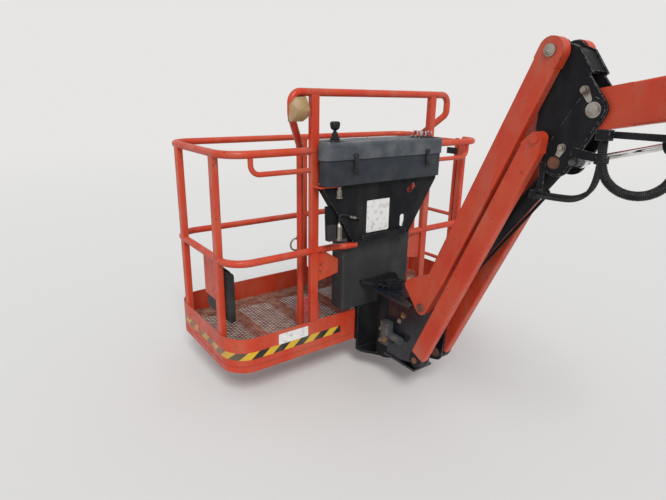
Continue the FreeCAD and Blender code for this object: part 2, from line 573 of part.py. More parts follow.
# Yoke, column and console
def make_yoke():
    top_z = DECK_Z + DECK_T + YOKE_GAP
    low_z = HOUSING_BASE_Z - YOKE_GAP - YOKE_T
    arms = []
    for z in (low_z, top_z):
        ring = [V(YOKE_END_R, SWIVEL_Y, z), V(YOKE_HALF, COLUMN_FRONT_Y - 30, z), V(YOKE_HALF, COLUMN_FRONT_Y, z),
                V(-YOKE_HALF, COLUMN_FRONT_Y, z), V(-YOKE_HALF, COLUMN_FRONT_Y - 30, z),
                V(-YOKE_END_R, SWIVEL_Y, z)]
        arm = prism(ring, V(0, 0, YOKE_T)).fuse(rod_z(0, SWIVEL_Y, z, z + YOKE_T, YOKE_END_R))
        arms.append(arm.cut(rod_z(0, SWIVEL_Y, z - 1, z + YOKE_T + 1, SHAFT_R)).removeSplitter())
    lower = arms[0].fuse(box(-YOKE_HALF, YOKE_HALF, COLUMN_FRONT_Y, COLUMN_FRONT_Y + 14, low_z, COLUMN_BASE_Z))
    for rib in both_sides(box(YOKE_HALF - 12, YOKE_HALF, COLUMN_FRONT_Y + 14, 0, 0, COLUMN_BASE_Z)).Solids:
        lower = lower.fuse(rib)
    nodes["yoke"] = Part.Compound([lower.removeSplitter(), arms[1]])
    top = top_z + YOKE_T
    shaft = rod_z(0, SWIVEL_Y, low_z, top, SHAFT_R).fuse(rod_z(0, SWIVEL_Y, top, top + 8, SHAFT_R + 14))
    nodes["rotator_shaft"] = shaft.removeSplitter()


def make_column():
    back = COLUMN_FRONT_Y + COLUMN_DEPTH
    column = rounded_block(-COLUMN_HALF, COLUMN_HALF, COLUMN_FRONT_Y, back, COLUMN_BASE_Z, COLUMN_TOP_Z, 12.0)
    nodes["column"] = column.cut(box(COLUMN_WALL - COLUMN_HALF, COLUMN_HALF - COLUMN_WALL,
                                     COLUMN_FRONT_Y + COLUMN_WALL, back - COLUMN_WALL,
                                     COLUMN_BASE_Z - 1, COLUMN_TOP_Z - COLUMN_WALL))
    post_in = POST_X - POST_WIDTH / 2
    y = rail_inset - GUSSET_T / 2
    gusset = prism([V(post_in, y, GUSSET["post_low"]), V(post_in, y, GUSSET["post_high"]),
                    V(COLUMN_HALF, y, GUSSET["column_high"]), V(COLUMN_HALF, y, GUSSET["column_low"])],
                   V(0, GUSSET_T, 0))
    nodes["gussets"] = both_sides(gusset)


def stand_outline(foot_half, foot_z, top_half, top_z, y, depth):
    """Block whose sides splay out from the foot to a short upright edge under the console."""
    edge_z = TRAY_BASE_Z - 20
    ring = [V(-foot_half, y, foot_z), V(foot_half, y, foot_z), V(top_half, y, edge_z), V(top_half, y, top_z),
            V(-top_half, y, top_z), V(-top_half, y, edge_z)]
    return prism(ring, V(0, depth, 0))


def make_stand():
    """Sheet-metal stand, open at the back, with slots for the hoses and a bar that clamps them."""
    stand = stand_outline(STAND_FOOT_HALF, COLUMN_TOP_Z, STAND_TOP_HALF, TRAY_BASE_Z, STAND_FRONT_Y, STAND_DEPTH)
    hollow = stand_outline(STAND_FOOT_HALF - STAND_T, COLUMN_TOP_Z + STAND_T, STAND_TOP_HALF - 2 * STAND_T,
                           TRAY_BASE_Z + 1, STAND_FRONT_Y + STAND_T, STAND_DEPTH)
    stand = stand.cut(hollow)
    for s in STAND_SLOTS:
        slot = box(-s["length"] / 2, s["length"] / 2, -STAND_T, STAND_T, -s["width"] / 2, s["width"] / 2)
        slot = round_long_edges(slot, 1, STAND_T, 0.4 * min(s["width"], s["length"]))
        slot.rotate(V(0, 0, 0), V(0, 1, 0), -s["tilt"])
        slot.translate(V(s["x"], STAND_FRONT_Y + STAND_T / 2, s["z"]))
        stand = stand.cut(slot)
    bar = box(-CLAMP["half"], CLAMP["half"], STAND_FRONT_Y - CLAMP["depth"], STAND_FRONT_Y, COLUMN_TOP_Z,
              COLUMN_TOP_Z + CLAMP["height"])
    bar = round_long_edges(bar, 0, CLAMP["half"], 6.0)
    nodes["console_stand"] = stand.fuse(bar).removeSplitter()


def console_block(z0, z1, inset=0.0):
    """Console outline between two heights, moved in by an inset: a wide front and a neck between the posts."""
    wide = rounded_block(inset - CONSOLE_HALF, CONSOLE_HALF - inset, CONSOLE_FRONT_Y + inset, -4.0 - inset,
                         z0, z1, CONSOLE_CORNER_R - inset)
    neck = rounded_block(inset - CONSOLE_NECK_HALF, CONSOLE_NECK_HALF - inset, CONSOLE_FRONT_Y + CONSOLE_CORNER_R,
                         CONSOLE_BACK_Y - inset, z0, z1, CONSOLE_CORNER_R / 2)
    return wide.fuse(neck).removeSplitter()


def make_console():
    """Tray and a lid that overhangs it; both are moulded shells."""
    wall = CONSOLE_WALL
    tray = console_block(TRAY_BASE_Z, LID_BASE_Z, LID_OVERHANG)
    nodes["console_tray"] = tray.cut(console_block(TRAY_BASE_Z + wall, LID_BASE_Z + 1, LID_OVERHANG + wall))
    lid = console_block(LID_BASE_Z, LID_TOP_Z)
    rim = [e for e in lid.Edges if min(v.Point.z for v in e.Vertexes) > LID_TOP_Z - 1]
    lid = lid.makeFillet(LID_EDGE_R, rim)
    nodes["console_lid"] = lid.cut(console_block(LID_BASE_Z - 1, LID_TOP_Z - 2 * wall, LID_OVERHANG + wall))
    stick = rod_z(JOYSTICK_X, -10, LID_TOP_Z, LID_TOP_Z + 22, 30.0)
    stick = stick.fuse(rod_z(JOYSTICK_X, -10, LID_TOP_Z + 22, LID_TOP_Z + 100, 13.0))
    toggles = [rod_z(TOGGLE_X + dx, dy, LID_TOP_Z, LID_TOP_Z + 36, 8.0)
               for dx, dy in ((-90, 0), (-50, 0), (-10, 0), (30, 0), (-70, -45), (-30, -45), (10, -45))]
    nodes["console_controls"] = Part.Compound([stick.removeSplitter()] + toggles)


# Rails and posts
def rail_pieces(z, near_x):
    """Long rail round the left end and the far side, and the short one at the right front corner."""
    bend = CORNER_R - rail_inset
    long = round_bar([V(-near_x, rail_inset, z), V(-rail_x, rail_inset, z), V(-rail_x, rail_far, z),
                      V(rail_x, rail_far, z), V(rail_x, PLATFORM_WIDTH - END_POST_INSET, z)], RAIL_D, bend)
    short = round_bar([V(near_x, rail_inset, z), V(rail_x, rail_inset, z), V(rail_x, END_POST_INSET, z)],
                      RAIL_D, bend)
    return Part.Compound([long, short])


def post(x, y, along_x, z0, z1):
    """Upright with its broad side along X or along Y."""
    a, b = (POST_WIDTH / 2, POST_DEPTH / 2) if along_x else (POST_DEPTH / 2, POST_WIDTH / 2)
    return rounded_block(x - a, x + a, y - b, y + b, z0, z1, 6.0)


def guard_bar():
    """Hoop over the console with its two legs standing on the floor."""
    path = []
    for side in (-1, 1):
        leg = [V(side * POST_X, GUARD_LEG_Y, FLOOR_HEIGHT + MESH_T), V(side * POST_X, GUARD_LEG_Y, GUARD_LEG_TOP),
               V(side * GUARD_HALF, rail_inset, GUARD_BEND_Z), V(side * GUARD_HALF, rail_inset, GUARD_HEIGHT)]
        path += leg if side < 0 else leg[::-1]
    return round_bar(path, RAIL_D, GUARD_BEND_R)


def make_rails():
    guard = guard_bar()
    base_z = FLOOR_HEIGHT + MESH_T
    near_posts = [post(s * POST_X, rail_inset, True, base_z, GUARD_HEIGHT) for s in (-1, 1)]
    outer_posts = [post(0.0, rail_far, True, base_z, RAIL_HEIGHT)]
    outer_posts += [post(s * rail_x, y, False, base_z, RAIL_HEIGHT) for s in (-1, 1)
                    for y in (END_POST_INSET, PLATFORM_WIDTH - END_POST_INSET)]
    near = Part.Compound(near_posts)
    top = Part.Compound([s.cut(near) for s in rail_pieces(RAIL_HEIGHT, POST_X).Solids])
    nodes["guard_bar"] = guard
    nodes["near_posts"] = Part.Compound([p.cut(guard) for p in near_posts])
    nodes["top_rail"] = top
    nodes["outer_posts"] = Part.Compound([p.cut(top) for p in outer_posts])
    mid = rail_pieces(MID_RAIL_HEIGHT, COLUMN_HALF)
    nodes["mid_rail"] = mid.cut(Part.Compound(near_posts + outer_posts))
    nodes["gussets"] = nodes["gussets"].cut(mid)
    loops = []
    for side in (-1, 1):
        loop = round_bar([V(side * LOOP_X, rail_inset, RAIL_HEIGHT), V(side * LOOP_X, rail_inset, LOOP_Z),
                          V(side * POST_X, rail_inset, LOOP_Z)], LOOP_D, LOOP_BEND_R)
        loops.append(loop.cut(Part.Compound([near, top])))
    nodes["hand_loops"] = Part.Compound(loops)


def make_lamp():
    x, half, depth = LAMP["x"], LAMP["half"], LAMP["depth"] / 2
    top = GUARD_HEIGHT - rail_r - 6
    lamp = rounded_block(x - half, x + half, rail_inset - depth, rail_inset + depth, top - LAMP["height"], top,
                         10.0)
    stem = box(x - 12, x + 12, rail_inset - 10, rail_inset + 10, top, GUARD_HEIGHT)
    nodes["lamp"] = lamp.fuse(stem).cut(nodes["guard_bar"]).removeSplitter()


# Toe board, floor and what stands on it
def platform_block(inset, z0, z1):
    """Block on the platform's outline, moved in by an inset."""
    return rounded_block(inset - half_length, half_length - inset, inset, PLATFORM_WIDTH - inset, z0, z1,
                         CORNER_R - inset)


def make_floor():
    toe = platform_block(0.0, 0.0, TOE_HEIGHT).cut(platform_block(TOE_WALL, -1.0, TOE_HEIGHT + 1))
    lip = platform_block(TOE_WALL, 0.0, TOE_LIP_T).cut(platform_block(TOE_WALL + TOE_LIP_W, -1.0, TOE_HEIGHT))
    groove = platform_block(-1.0, TOE_RIM, TOE_RIM + TOE_GROOVE_H).cut(platform_block(TOE_GROOVE, 0.0, TOE_HEIGHT))
    nodes["toe_board"] = toe.fuse(lip).cut(groove).removeSplitter()
    frame = platform_block(TOE_WALL, TOE_LIP_T, FLOOR_HEIGHT).cut(
        platform_block(TOE_WALL + BEAM_W, 0.0, TOE_HEIGHT))
    for x in (-2 * BEAM_X, -BEAM_X, 0.0, BEAM_X, 2 * BEAM_X):
        frame = frame.fuse(box(x - BEAM_W / 2, x + BEAM_W / 2, TOE_WALL + BEAM_W - 4,
                               PLATFORM_WIDTH - TOE_WALL - BEAM_W + 4, TOE_LIP_T, FLOOR_HEIGHT))
    nodes["floor_frame"] = frame.removeSplitter()

    margin = TOE_WALL + POST_DEPTH + 22
    step_x = (PLATFORM_LENGTH - 2 * margin) / MESH_COLUMNS
    step_y = (PLATFORM_WIDTH - 2 * margin) / MESH_ROWS
    a, b = step_x / 2 - MESH_STRAND, step_y / 2 - MESH_STRAND
    z = FLOOR_HEIGHT - 1
    holes = []
    for row in range(2 * MESH_ROWS - 1):
        shift = row % 2
        for column in range(MESH_COLUMNS - shift):
            x = margin - half_length + step_x * (column + 0.5 + shift / 2)
            y = margin + step_y * (row + 1) / 2
            ring = [V(x + a, y, z), V(x, y + b, z), V(x - a, y, z), V(x, y - b, z)]
            holes.append(prism(ring, V(0, 0, MESH_T + 2)))
    mesh = platform_block(TOE_WALL, FLOOR_HEIGHT, FLOOR_HEIGHT + MESH_T)
    nodes["floor_mesh"] = mesh.cut(Part.Compound(holes))


def make_floor_fittings():
    base_z = FLOOR_HEIGHT + MESH_T
    r = SWITCH["r"]
    ball_z = base_z + SWITCH["height"] - r
    dome = rod_z(SWITCH["x"], SWITCH["y"], base_z, ball_z, r)
    ball = Part.makeSphere(r, V(SWITCH["x"], SWITCH["y"], ball_z), V(0, 0, 1), 0, 90, 360)
    nodes["foot_switch_cover"] = dome.fuse(ball).removeSplitter()
    post_x = -rail_x + POST_DEPTH / 2
    e = END_BOX
    back = e["front"] + e["width"]
    plate_top = MID_RAIL_HEIGHT - rail_r - END_PLATE["below_rail"]
    top = plate_top - END_PLATE["over_box"]
    nodes["end_box"] = rounded_block(post_x, post_x + e["depth"], e["front"], back, top - e["height"], top, 14.0)
    plate_y = END_POST_INSET + POST_WIDTH / 2 + 4
    nodes["end_plate"] = box(post_x - END_PLATE["t"], post_x, plate_y, back + END_PLATE["behind_box"],
                             plate_top - END_PLATE["height"], plate_top)


def make_lanyard_rings():
    """Ring and lug welded to the back of each leg of the hoop."""
    ring_x, lug_y = POST_X + 12, GUARD_LEG_Y + rail_r - 2
    ring_y = GUARD_LEG_Y + rail_r + RING_BAR_R + 2
    ring = Part.makeTorus(RING_R, RING_BAR_R, V(ring_x, ring_y, MID_RAIL_HEIGHT), V(0, 1, 0))
    lug = box(POST_X - 6, POST_X + 6, lug_y, ring_y + 4, MID_RAIL_HEIGHT + RING_R - 12, MID_RAIL_HEIGHT + RING_R + 12)
    nodes["lanyard_rings"] = both_sides(ring.fuse(lug).cut(nodes["guard_bar"]).removeSplitter())


# Gate in the right-hand end
def make_gate():
    y0 = END_POST_INSET + POST_WIDTH / 2 + GATE_GAP + GATE_D / 2
    y1 = PLATFORM_WIDTH - END_POST_INSET - POST_WIDTH / 2 - GATE_GAP - GATE_D / 2
    r = GATE_D / 2
    top = RAIL_HEIGHT + 4
    gate = rod_z(rail_x, y0, GATE_BOTTOM, top, r).fuse(rod_z(rail_x, y1, GATE_BOTTOM, top, r))
    for z in (GATE_BOTTOM + 30, MID_RAIL_HEIGHT, RAIL_HEIGHT - 14):
        gate = gate.fuse(Part.makeCylinder(GATE_BAR_R, y1 - y0, V(rail_x, y0, z), V(0, 1, 0)))
    gate = gate.removeSplitter()
    nodes["gate"] = gate.cut(rod_z(rail_x, y1, GATE_BOTTOM - 1, top + 1, GATE_PIN_R + RUN_FIT))
    latch_z = RAIL_HEIGHT - GATE_LATCH_DROP
    latch = rounded_block(rail_x - 34, rail_x - 6, y0 - 12, y0 + 60, latch_z - 20, latch_z + 20, 5.0)
    nodes["gate_latch"] = latch.cut(rod_z(rail_x, y0, 0, RAIL_HEIGHT, r))

    post_face = PLATFORM_WIDTH - END_POST_INSET - POST_WIDTH / 2
    lug_x = (rail_x - 13, rail_x + 13)
    low_z = GATE_BOTTOM - 1 - GATE_LUG_T
    low = box(*lug_x, y1, post_face, low_z, GATE_BOTTOM - 1).fuse(rod_z(rail_x, y1, low_z, GATE_BOTTOM - 1, 13.0))
    low = low.fuse(rod_z(rail_x, y1, GATE_BOTTOM - 1, GATE_BOTTOM + 40, GATE_PIN_R))
    high_z = RAIL_HEIGHT + rail_r + 2
    high = box(*lug_x, y1, post_face + 20, high_z, high_z + GATE_LUG_T)
    high = high.fuse(rod_z(rail_x, y1, high_z, high_z + GATE_LUG_T, 13.0))
    high = high.fuse(rod_z(rail_x, y1, top - 40, high_z, GATE_PIN_R))
    high = high.fuse(box(*lug_x, post_face + 6, post_face + 20, RAIL_HEIGHT, high_z)).cut(nodes["top_rail"])
    nodes["gate_hinge_lugs"] = Part.Compound([low.removeSplitter(), high.removeSplitter()])


make_boom()
make_level_base()
make_carrier_hose()
make_level_cylinder()
make_head()
make_pin_keepers()
make_loop_hoses()
make_upper_link()
make_lower_link()
make_jib_ram()
make_carrier()
make_yoke()
make_column()
make_stand()
make_console()
make_rails()
make_lamp()
make_floor()
make_floor_fittings()
make_lanyard_rings()
make_gate()

flange_centre = boom_point(-BOOM_LENGTH, 0.0)
os.makedirs("parts", exist_ok=True)
for name, shape in nodes.items():
    placed = shape.copy()
    placed.translate(V(0, -flange_centre[0], -flange_centre[1]))
    placed.exportStep(f"parts/{name}.step")
    print(name, len(placed.Solids), placed.isValid(), round(placed.Volume / 1000, 1), "cm3")
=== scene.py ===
"""Looks of a boom lift's work platform with its jib, seen by a camera that stands beside the boom's end.

Metres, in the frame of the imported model: X runs along the platform, Y from the boom to the platform, Z up.
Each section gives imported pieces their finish, or makes a piece that the solids leave plain or leave out.
"""
import math

import bmesh
import bpy
import numpy as np
from mathutils import Matrix, Vector


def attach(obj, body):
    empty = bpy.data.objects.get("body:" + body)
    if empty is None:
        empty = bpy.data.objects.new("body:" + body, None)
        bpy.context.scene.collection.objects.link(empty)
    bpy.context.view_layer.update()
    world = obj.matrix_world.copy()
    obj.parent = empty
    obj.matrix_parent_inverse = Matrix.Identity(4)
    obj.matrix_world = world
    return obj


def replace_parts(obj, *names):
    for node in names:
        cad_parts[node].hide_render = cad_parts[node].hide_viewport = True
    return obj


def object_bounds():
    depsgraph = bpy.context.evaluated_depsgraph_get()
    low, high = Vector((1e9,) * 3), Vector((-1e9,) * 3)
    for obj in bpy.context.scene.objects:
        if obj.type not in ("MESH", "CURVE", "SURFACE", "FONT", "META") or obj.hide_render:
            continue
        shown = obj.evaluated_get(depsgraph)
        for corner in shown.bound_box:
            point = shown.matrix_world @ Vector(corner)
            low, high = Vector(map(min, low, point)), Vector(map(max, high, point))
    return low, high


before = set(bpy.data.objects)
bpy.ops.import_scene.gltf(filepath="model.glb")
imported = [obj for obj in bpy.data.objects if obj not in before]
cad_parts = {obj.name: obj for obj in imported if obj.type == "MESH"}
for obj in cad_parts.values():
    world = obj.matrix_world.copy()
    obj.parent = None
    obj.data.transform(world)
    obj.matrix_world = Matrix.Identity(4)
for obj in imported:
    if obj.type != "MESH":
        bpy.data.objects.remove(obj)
cad_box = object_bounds()

# Camera: it stands beside the boom, about two metres from the platform's near side, and looks down on it.
# Its axes come from a heading turned from +Y towards +X, a pitch below the horizon, and a small roll.
CAMERA_PLACE = (-1.811, -0.0957, -0.1207)
HEADING, PITCH, ROLL = math.radians(36.49), math.radians(-17.52), math.radians(1.05)
FOCAL_PIXELS, PICTURE_WIDTH, SENSOR_WIDTH = 489.7, 666, 36.0

forward = Vector((math.sin(HEADING) * math.cos(PITCH), math.cos(HEADING) * math.cos(PITCH), math.sin(PITCH)))
level_right = Vector((math.cos(HEADING), -math.sin(HEADING), 0.0))
level_up = level_right.cross(forward)
right = level_right * math.cos(ROLL) + level_up * math.sin(ROLL)
up = level_up * math.cos(ROLL) - level_right * math.sin(ROLL)
camera_data = bpy.data.cameras.new("camera")
camera_data.sensor_width = SENSOR_WIDTH
camera_data.lens = SENSOR_WIDTH * FOCAL_PIXELS / PICTURE_WIDTH
camera = bpy.data.objects.new("camera", camera_data)
camera.matrix_world = Matrix((right, up, -forward)).transposed().to_4x4()
camera.location = CAMERA_PLACE
bpy.context.scene.collection.objects.link(camera)
bpy.context.scene.camera = camera
bpy.context.scene.view_settings.view_transform = "Standard"


# Hoses: black rubber, each hanging in a loop between two brackets. A wide corrugated one guards the boom's
# cables, and two thin smooth ones cross under the head.
CARRIER_ROUTE = ((-0.141, 0.6943, -0.2450), (-0.141, 0.6943, -0.3403), (-0.141, 0.6269, -0.4076),
                 (-0.141, 0.5317, -0.4076), (-0.141, 0.4643, -0.3403), (-0.141, 0.4643, -0.2450))
LOOP_A_ROUTE = ((-0.080, 0.7173, -0.3276), (-0.080, 0.7173, -0.4029), (-0.080, 0.7700, -0.4556),
                (-0.080, 0.8513, -0.4626), (-0.080, 0.9283, -0.4626))
LOOP_B_ROUTE = ((-0.098, 0.7173, -0.3276), (-0.098, 0.7173, -0.4109), (-0.098, 0.7700, -0.4636),
                (-0.098, 0.8513, -0.4706), (-0.098, 0.9283, -0.4706))
CARRIER_HOSE_D, LOOP_HOSE_D = 0.032, 0.016
RIB_DEPTH, RIB_PITCH, RINGS_PER_RIB = 0.16, 0.006, 6


def shader_node(material, kind, inputs=(), **settings):
    """Adds one shader node. Each input, by name or number, is a value or another node's socket."""
    node = material.node_tree.nodes.new("ShaderNode" + kind)
    for key, value in settings.items():
        setattr(node, key, value)
    for key, value in dict(inputs).items():
        if isinstance(value, bpy.types.NodeSocket):
            material.node_tree.links.new(value, node.inputs[key])
        else:
            node.inputs[key].default_value = value
    return node


def cloud(material, scale, low, high, detail=4.0, stretch=(1.0, 1.0, 1.0)):
    """Noise in the piece's own metres, spread so that low gives 0 and high gives 1."""
    point = shader_node(material, "TexCoord").outputs["Object"]
    point = shader_node(material, "Mapping", {"Vector": point, "Scale": stretch}).outputs["Vector"]
    noise = shader_node(material, "TexNoise", {"Vector": point, "Scale": scale, "Detail": detail})
    spread = shader_node(material, "MapRange", {"Value": noise.outputs["Fac"], "From Min": low,
                                                "From Max": high})
    return spread.outputs["Result"]


def mixed(material, share, first, second):
    """First colour where the share is 0, second where it is 1."""
    node = shader_node(material, "Mix", {0: share, 6: first, 7: second}, data_type="RGBA")
    return node.outputs[2]


def finish(name, colour, roughness, bump, bump_depth, metallic=0.0, coat=0.0, shine=0.5):
    """Material from a colour, a roughness and a bump, each a socket made by a function of the material."""
    material = bpy.data.materials.new(name)
    material.use_nodes = True
    shader = material.node_tree.nodes["Principled BSDF"]
    shader.inputs["Metallic"].default_value = metallic
    shader.inputs["Coat Weight"].default_value = coat
    shader.inputs["Specular IOR Level"].default_value = shine
    material.node_tree.links.new(colour(material), shader.inputs["Base Color"])
    material.node_tree.links.new(roughness(material), shader.inputs["Roughness"])
    height = shader_node(material, "Bump", {"Height": bump(material), "Distance": bump_depth, "Strength": 0.6})
    material.node_tree.links.new(height.outputs["Normal"], shader.inputs["Normal"])
    return material


def between(material, share, low, high):
    """Number from low where the share is 0 to high where it is 1."""
    return shader_node(material, "MapRange", {"Value": share, "To Min": low, "To Max": high}).outputs["Result"]


rubber = finish("hose_rubber",
                lambda m: mixed(m, cloud(m, 30, 0.42, 0.7), (0.010, 0.010, 0.011, 1), (0.030, 0.028, 0.026, 1)),
                lambda m: between(m, cloud(m, 60, 0.3, 0.7), 0.42, 0.68),
                lambda m: cloud(m, 400, 0.2, 0.8), 0.0006, shine=0.3)


def smooth_line(name, route):
    """Points of the smooth spline that has the route's points as its controls."""
    data = bpy.data.curves.new(name, "CURVE")
    data.dimensions = "3D"
    spline = data.splines.new("NURBS")
    spline.points.add(len(route) - 1)
    spline.points.foreach_set("co", np.column_stack([route, np.ones(len(route))]).ravel())
    spline.order_u = 3
    spline.use_endpoint_u = True
    spline.resolution_u = 24
    holder = bpy.data.objects.new(name, data)
    line = bpy.data.meshes.new_from_object(holder)
    points = np.empty(len(line.vertices) * 3)
    line.vertices.foreach_get("co", points)
    bpy.data.objects.remove(holder)
    return points.reshape(-1, 3)


def evenly(points, count):
    """The same line with its points at even steps of its length, and that length."""
    along = np.r_[0, np.cumsum(np.linalg.norm(np.diff(points, axis=0), axis=1))]
    steps = np.linspace(0, along[-1], count)
    return np.column_stack([np.interp(steps, along, points[:, i]) for i in range(3)]), along[-1]


def skin(name, grids, material, body):
    """Piece made of grids of points: rows run along each form, each row closes on itself, and the end rows are
    capped. It rides on a body and takes the finish it is given."""
    corners, faces, count = [], [], 0
    for grid in grids:
        rows, columns = grid.shape[:2]
        r, c = np.meshgrid(np.arange(rows - 1), np.arange(columns), indexing="ij")
        beside = (c + 1) % columns
        quads = np.stack([r * columns + c, r * columns + beside, (r + 1) * columns + beside,
                          (r + 1) * columns + c], -1)
        last = count + (rows - 1) * columns
        faces += (quads.reshape(-1, 4) + count).tolist()
        faces += [list(range(count, count + columns))[::-1], list(range(last, last + columns))]
        corners.append(grid.reshape(-1, 3))
        count += rows * columns
    mesh = bpy.data.meshes.new(name)
    mesh.from_pydata(np.concatenate(corners).tolist(), [], faces)
    outward = bmesh.new()
    outward.from_mesh(mesh)
    bmesh.ops.recalc_face_normals(outward, faces=outward.faces)
    outward.to_mesh(mesh)
    outward.free()
    mesh.shade_smooth()
    mesh.set_sharp_from_angle(angle=math.radians(38))
    mesh.materials.append(material)
    piece = bpy.data.objects.new(name, mesh)
    bpy.context.scene.collection.objects.link(piece)
    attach(piece, body)
    return piece


def tube(points, radii, sides=16):
    """Grid of a tube round a line: at each point a ring lies square to it, and its radius may change along it."""
    heading = np.gradient(points, axis=0)
    heading /= np.linalg.norm(heading, axis=1)[:, None]
    spare = np.array([1.0, 0.0, 0.0]) if abs(heading[:, 0]).max() < 0.9 else np.array([0.0, 1.0, 0.0])
    side = np.cross(heading, spare)
    side /= np.linalg.norm(side, axis=1)[:, None]
    other = np.cross(heading, side)
    turn = np.linspace(0, 2 * np.pi, sides, endpoint=False)
    radii = np.broadcast_to(radii, len(points))
    ring = np.cos(turn)[None, :, None] * side[:, None] + np.sin(turn)[None, :, None] * other[:, None]
    return points[:, None] + radii[:, None, None] * ring


def hanging_hose(name, route, diameter, body, ribs=0.0):
    """Hose on its route. Ribs are a cosine along it, as deep as the given share of its radius."""
    line, length = evenly(smooth_line(name, route), 60)
    rings = int(length / RIB_PITCH * RINGS_PER_RIB) if ribs else 60
    points, length = evenly(line, rings)
    wave = np.cos(np.linspace(0, length, rings) / RIB_PITCH * 2 * np.pi)
    hose = skin(name, [tube(points, diameter / 2 * (1 - ribs / 2 + ribs / 2 * wave))], rubber, body)
    return hose


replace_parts(hanging_hose("hose_corrugated", CARRIER_ROUTE, CARRIER_HOSE_D, "boom", RIB_DEPTH), "carrier_hose")
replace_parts(hanging_hose("hose_thin_a", LOOP_A_ROUTE, LOOP_HOSE_D, "head"), "loop_hose_a")
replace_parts(hanging_hose("hose_thin_b", LOOP_B_ROUTE, LOOP_HOSE_D, "head"), "loop_hose_b")


# Painted steel. The orange coat is thick and glossy, sun-faded in patches, dusty, and chipped to rust at
# edges and in small spots. Black and grey parts have a thinner satin coat, worn to pale metal at the edges; on
# the black parts that pale rim is also a painted highlight along the edges.
def edges(material, radius):
    """1 along the edges, where the normal, smoothed over the radius, turns away from the true one. Paints lay
    their under colour there; on the black parts that pale colour is wear and also a painted highlight.
    """
    soft = shader_node(material, "Bevel", {"Radius": radius}, samples=4).outputs["Normal"]
    true = shader_node(material, "NewGeometry").outputs["Normal"]
    dot = shader_node(material, "VectorMath", {0: soft, 1: true}, operation="DOT_PRODUCT").outputs["Value"]
    worn = shader_node(material, "MapRange", {"Value": dot, "From Min": 0.97, "From Max": 0.86}).outputs["Result"]
    rough = cloud(material, 90, 0.45, 0.62)
    return shader_node(material, "Math", {0: worn, 1: rough}, operation="MULTIPLY").outputs["Value"]


def paint(name, colour, faded, under, dust, gloss, chips=0.7, coat=0.1, shine=0.35, rim=0.003, marking=None):
    """Paint that fades in wide patches, is chipped in spots and at edges, and holds dust in streaks. A pale
    under colour at the edges is a painted highlight as well as wear.
    """
    def colours(m):
        layer = mixed(m, cloud(m, 5, 0.38, 0.68), colour, faded)
        if marking:
            layer = marking(m, layer)
        layer = mixed(m, between(m, cloud(m, 14, 0.45, 0.75, 8.0, (1, 1, 0.35)), 0.0, 0.25), layer, dust)
        layer = mixed(m, cloud(m, 45, chips, chips + 0.02, 6.0), layer, under)
        return mixed(m, edges(m, rim), layer, under)
    return finish(name, colours, lambda m: between(m, cloud(m, 18, 0.35, 0.7), gloss, gloss + 0.28),
                  lambda m: cloud(m, 160, 0.3, 0.7), 0.0004, coat=coat, shine=shine)


ORANGE, FADED_ORANGE = (0.50, 0.036, 0.010, 1), (0.53, 0.066, 0.025, 1)
DUST, DARK_DUST = (0.30, 0.22, 0.16, 1), (0.06, 0.054, 0.048, 1)
# Bare steel is the pale colour of the black paints' chips and edges; along the edges it is also a painted
# highlight.
RUST, BARE_STEEL_AND_EDGE_HIGHLIGHT = (0.12, 0.045, 0.025, 1), (0.30, 0.29, 0.28, 1)
orange = paint("orange_paint", ORANGE, FADED_ORANGE, RUST, DUST, 0.32, chips=0.67)
black = paint("black_paint", (0.006, 0.0065, 0.008, 1), (0.012, 0.0125, 0.015, 1), BARE_STEEL_AND_EDGE_HIGHLIGHT, DARK_DUST, 0.42,
              chips=0.78, coat=0.0, shine=0.12)
# The cheeks' wider pale rim is partly wear and partly a painted highlight along their edges.
cheek_paint = paint("cheek_paint", (0.006, 0.0065, 0.009, 1), (0.012, 0.0125, 0.016, 1), BARE_STEEL_AND_EDGE_HIGHLIGHT, DARK_DUST,
                    0.42, chips=0.77, coat=0.0, shine=0.14, rim=0.0045)
glossy_black = paint("deck_paint", (0.006, 0.008, 0.014, 1), (0.010, 0.013, 0.022, 1), (0.16, 0.14, 0.13, 1),
                     DARK_DUST, 0.14, chips=0.8, coat=0.25, shine=0.4)
grey = paint("grey_paint", (0.022, 0.023, 0.024, 1), (0.038, 0.038, 0.038, 1), (0.12, 0.10, 0.09, 1), DARK_DUST,
             0.42, chips=0.75, coat=0.0, shine=0.25)


def dress(material, *names):
    """Gives CAD nodes their finish."""
    for name in names:
        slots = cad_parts[name].data.materials
        slots.clear()
        slots.append(material)


dress(orange, "boom_tube", "boom_nose", "boom_flange", "level_base_lugs", "upper_link_tubes",
      "upper_link_ends", "upper_link_cross_tube", "lower_link_tubes", "gussets", "guard_bar", "near_posts",
      "top_rail", "outer_posts", "mid_rail", "hand_loops", "floor_frame", "gate_hinge_lugs", "gate")
dress(black, "level_barrel", "head_webs", "hose_bulkheads", "lower_link_knuckles",
      "jib_ram_barrel", "jib_ram_line", "rotator_housing", "yoke", "console_stand")
dress(cheek_paint, "head_cheeks")
dress(glossy_black, "carrier_bracket")
dress(grey, "column")


# Metal without paint: zinc-plated pins and keepers, chromed cylinder rods, the cast drive, brass fittings, and
# rusty steel on the floor, on the jib cylinder's pin and on the links' lower pins.
def metal(name, colour, tarnish, roughness, scale, depth, metallic=1.0):
    """Bare metal whose tarnish lies in blotches and roughens it."""
    return finish(name, lambda m: mixed(m, cloud(m, scale, 0.42, 0.66, 6.0), colour, tarnish),
                  lambda m: between(m, cloud(m, scale, 0.42, 0.66, 6.0), roughness, roughness + 0.3),
                  lambda m: cloud(m, scale * 12, 0.3, 0.7), depth, metallic)


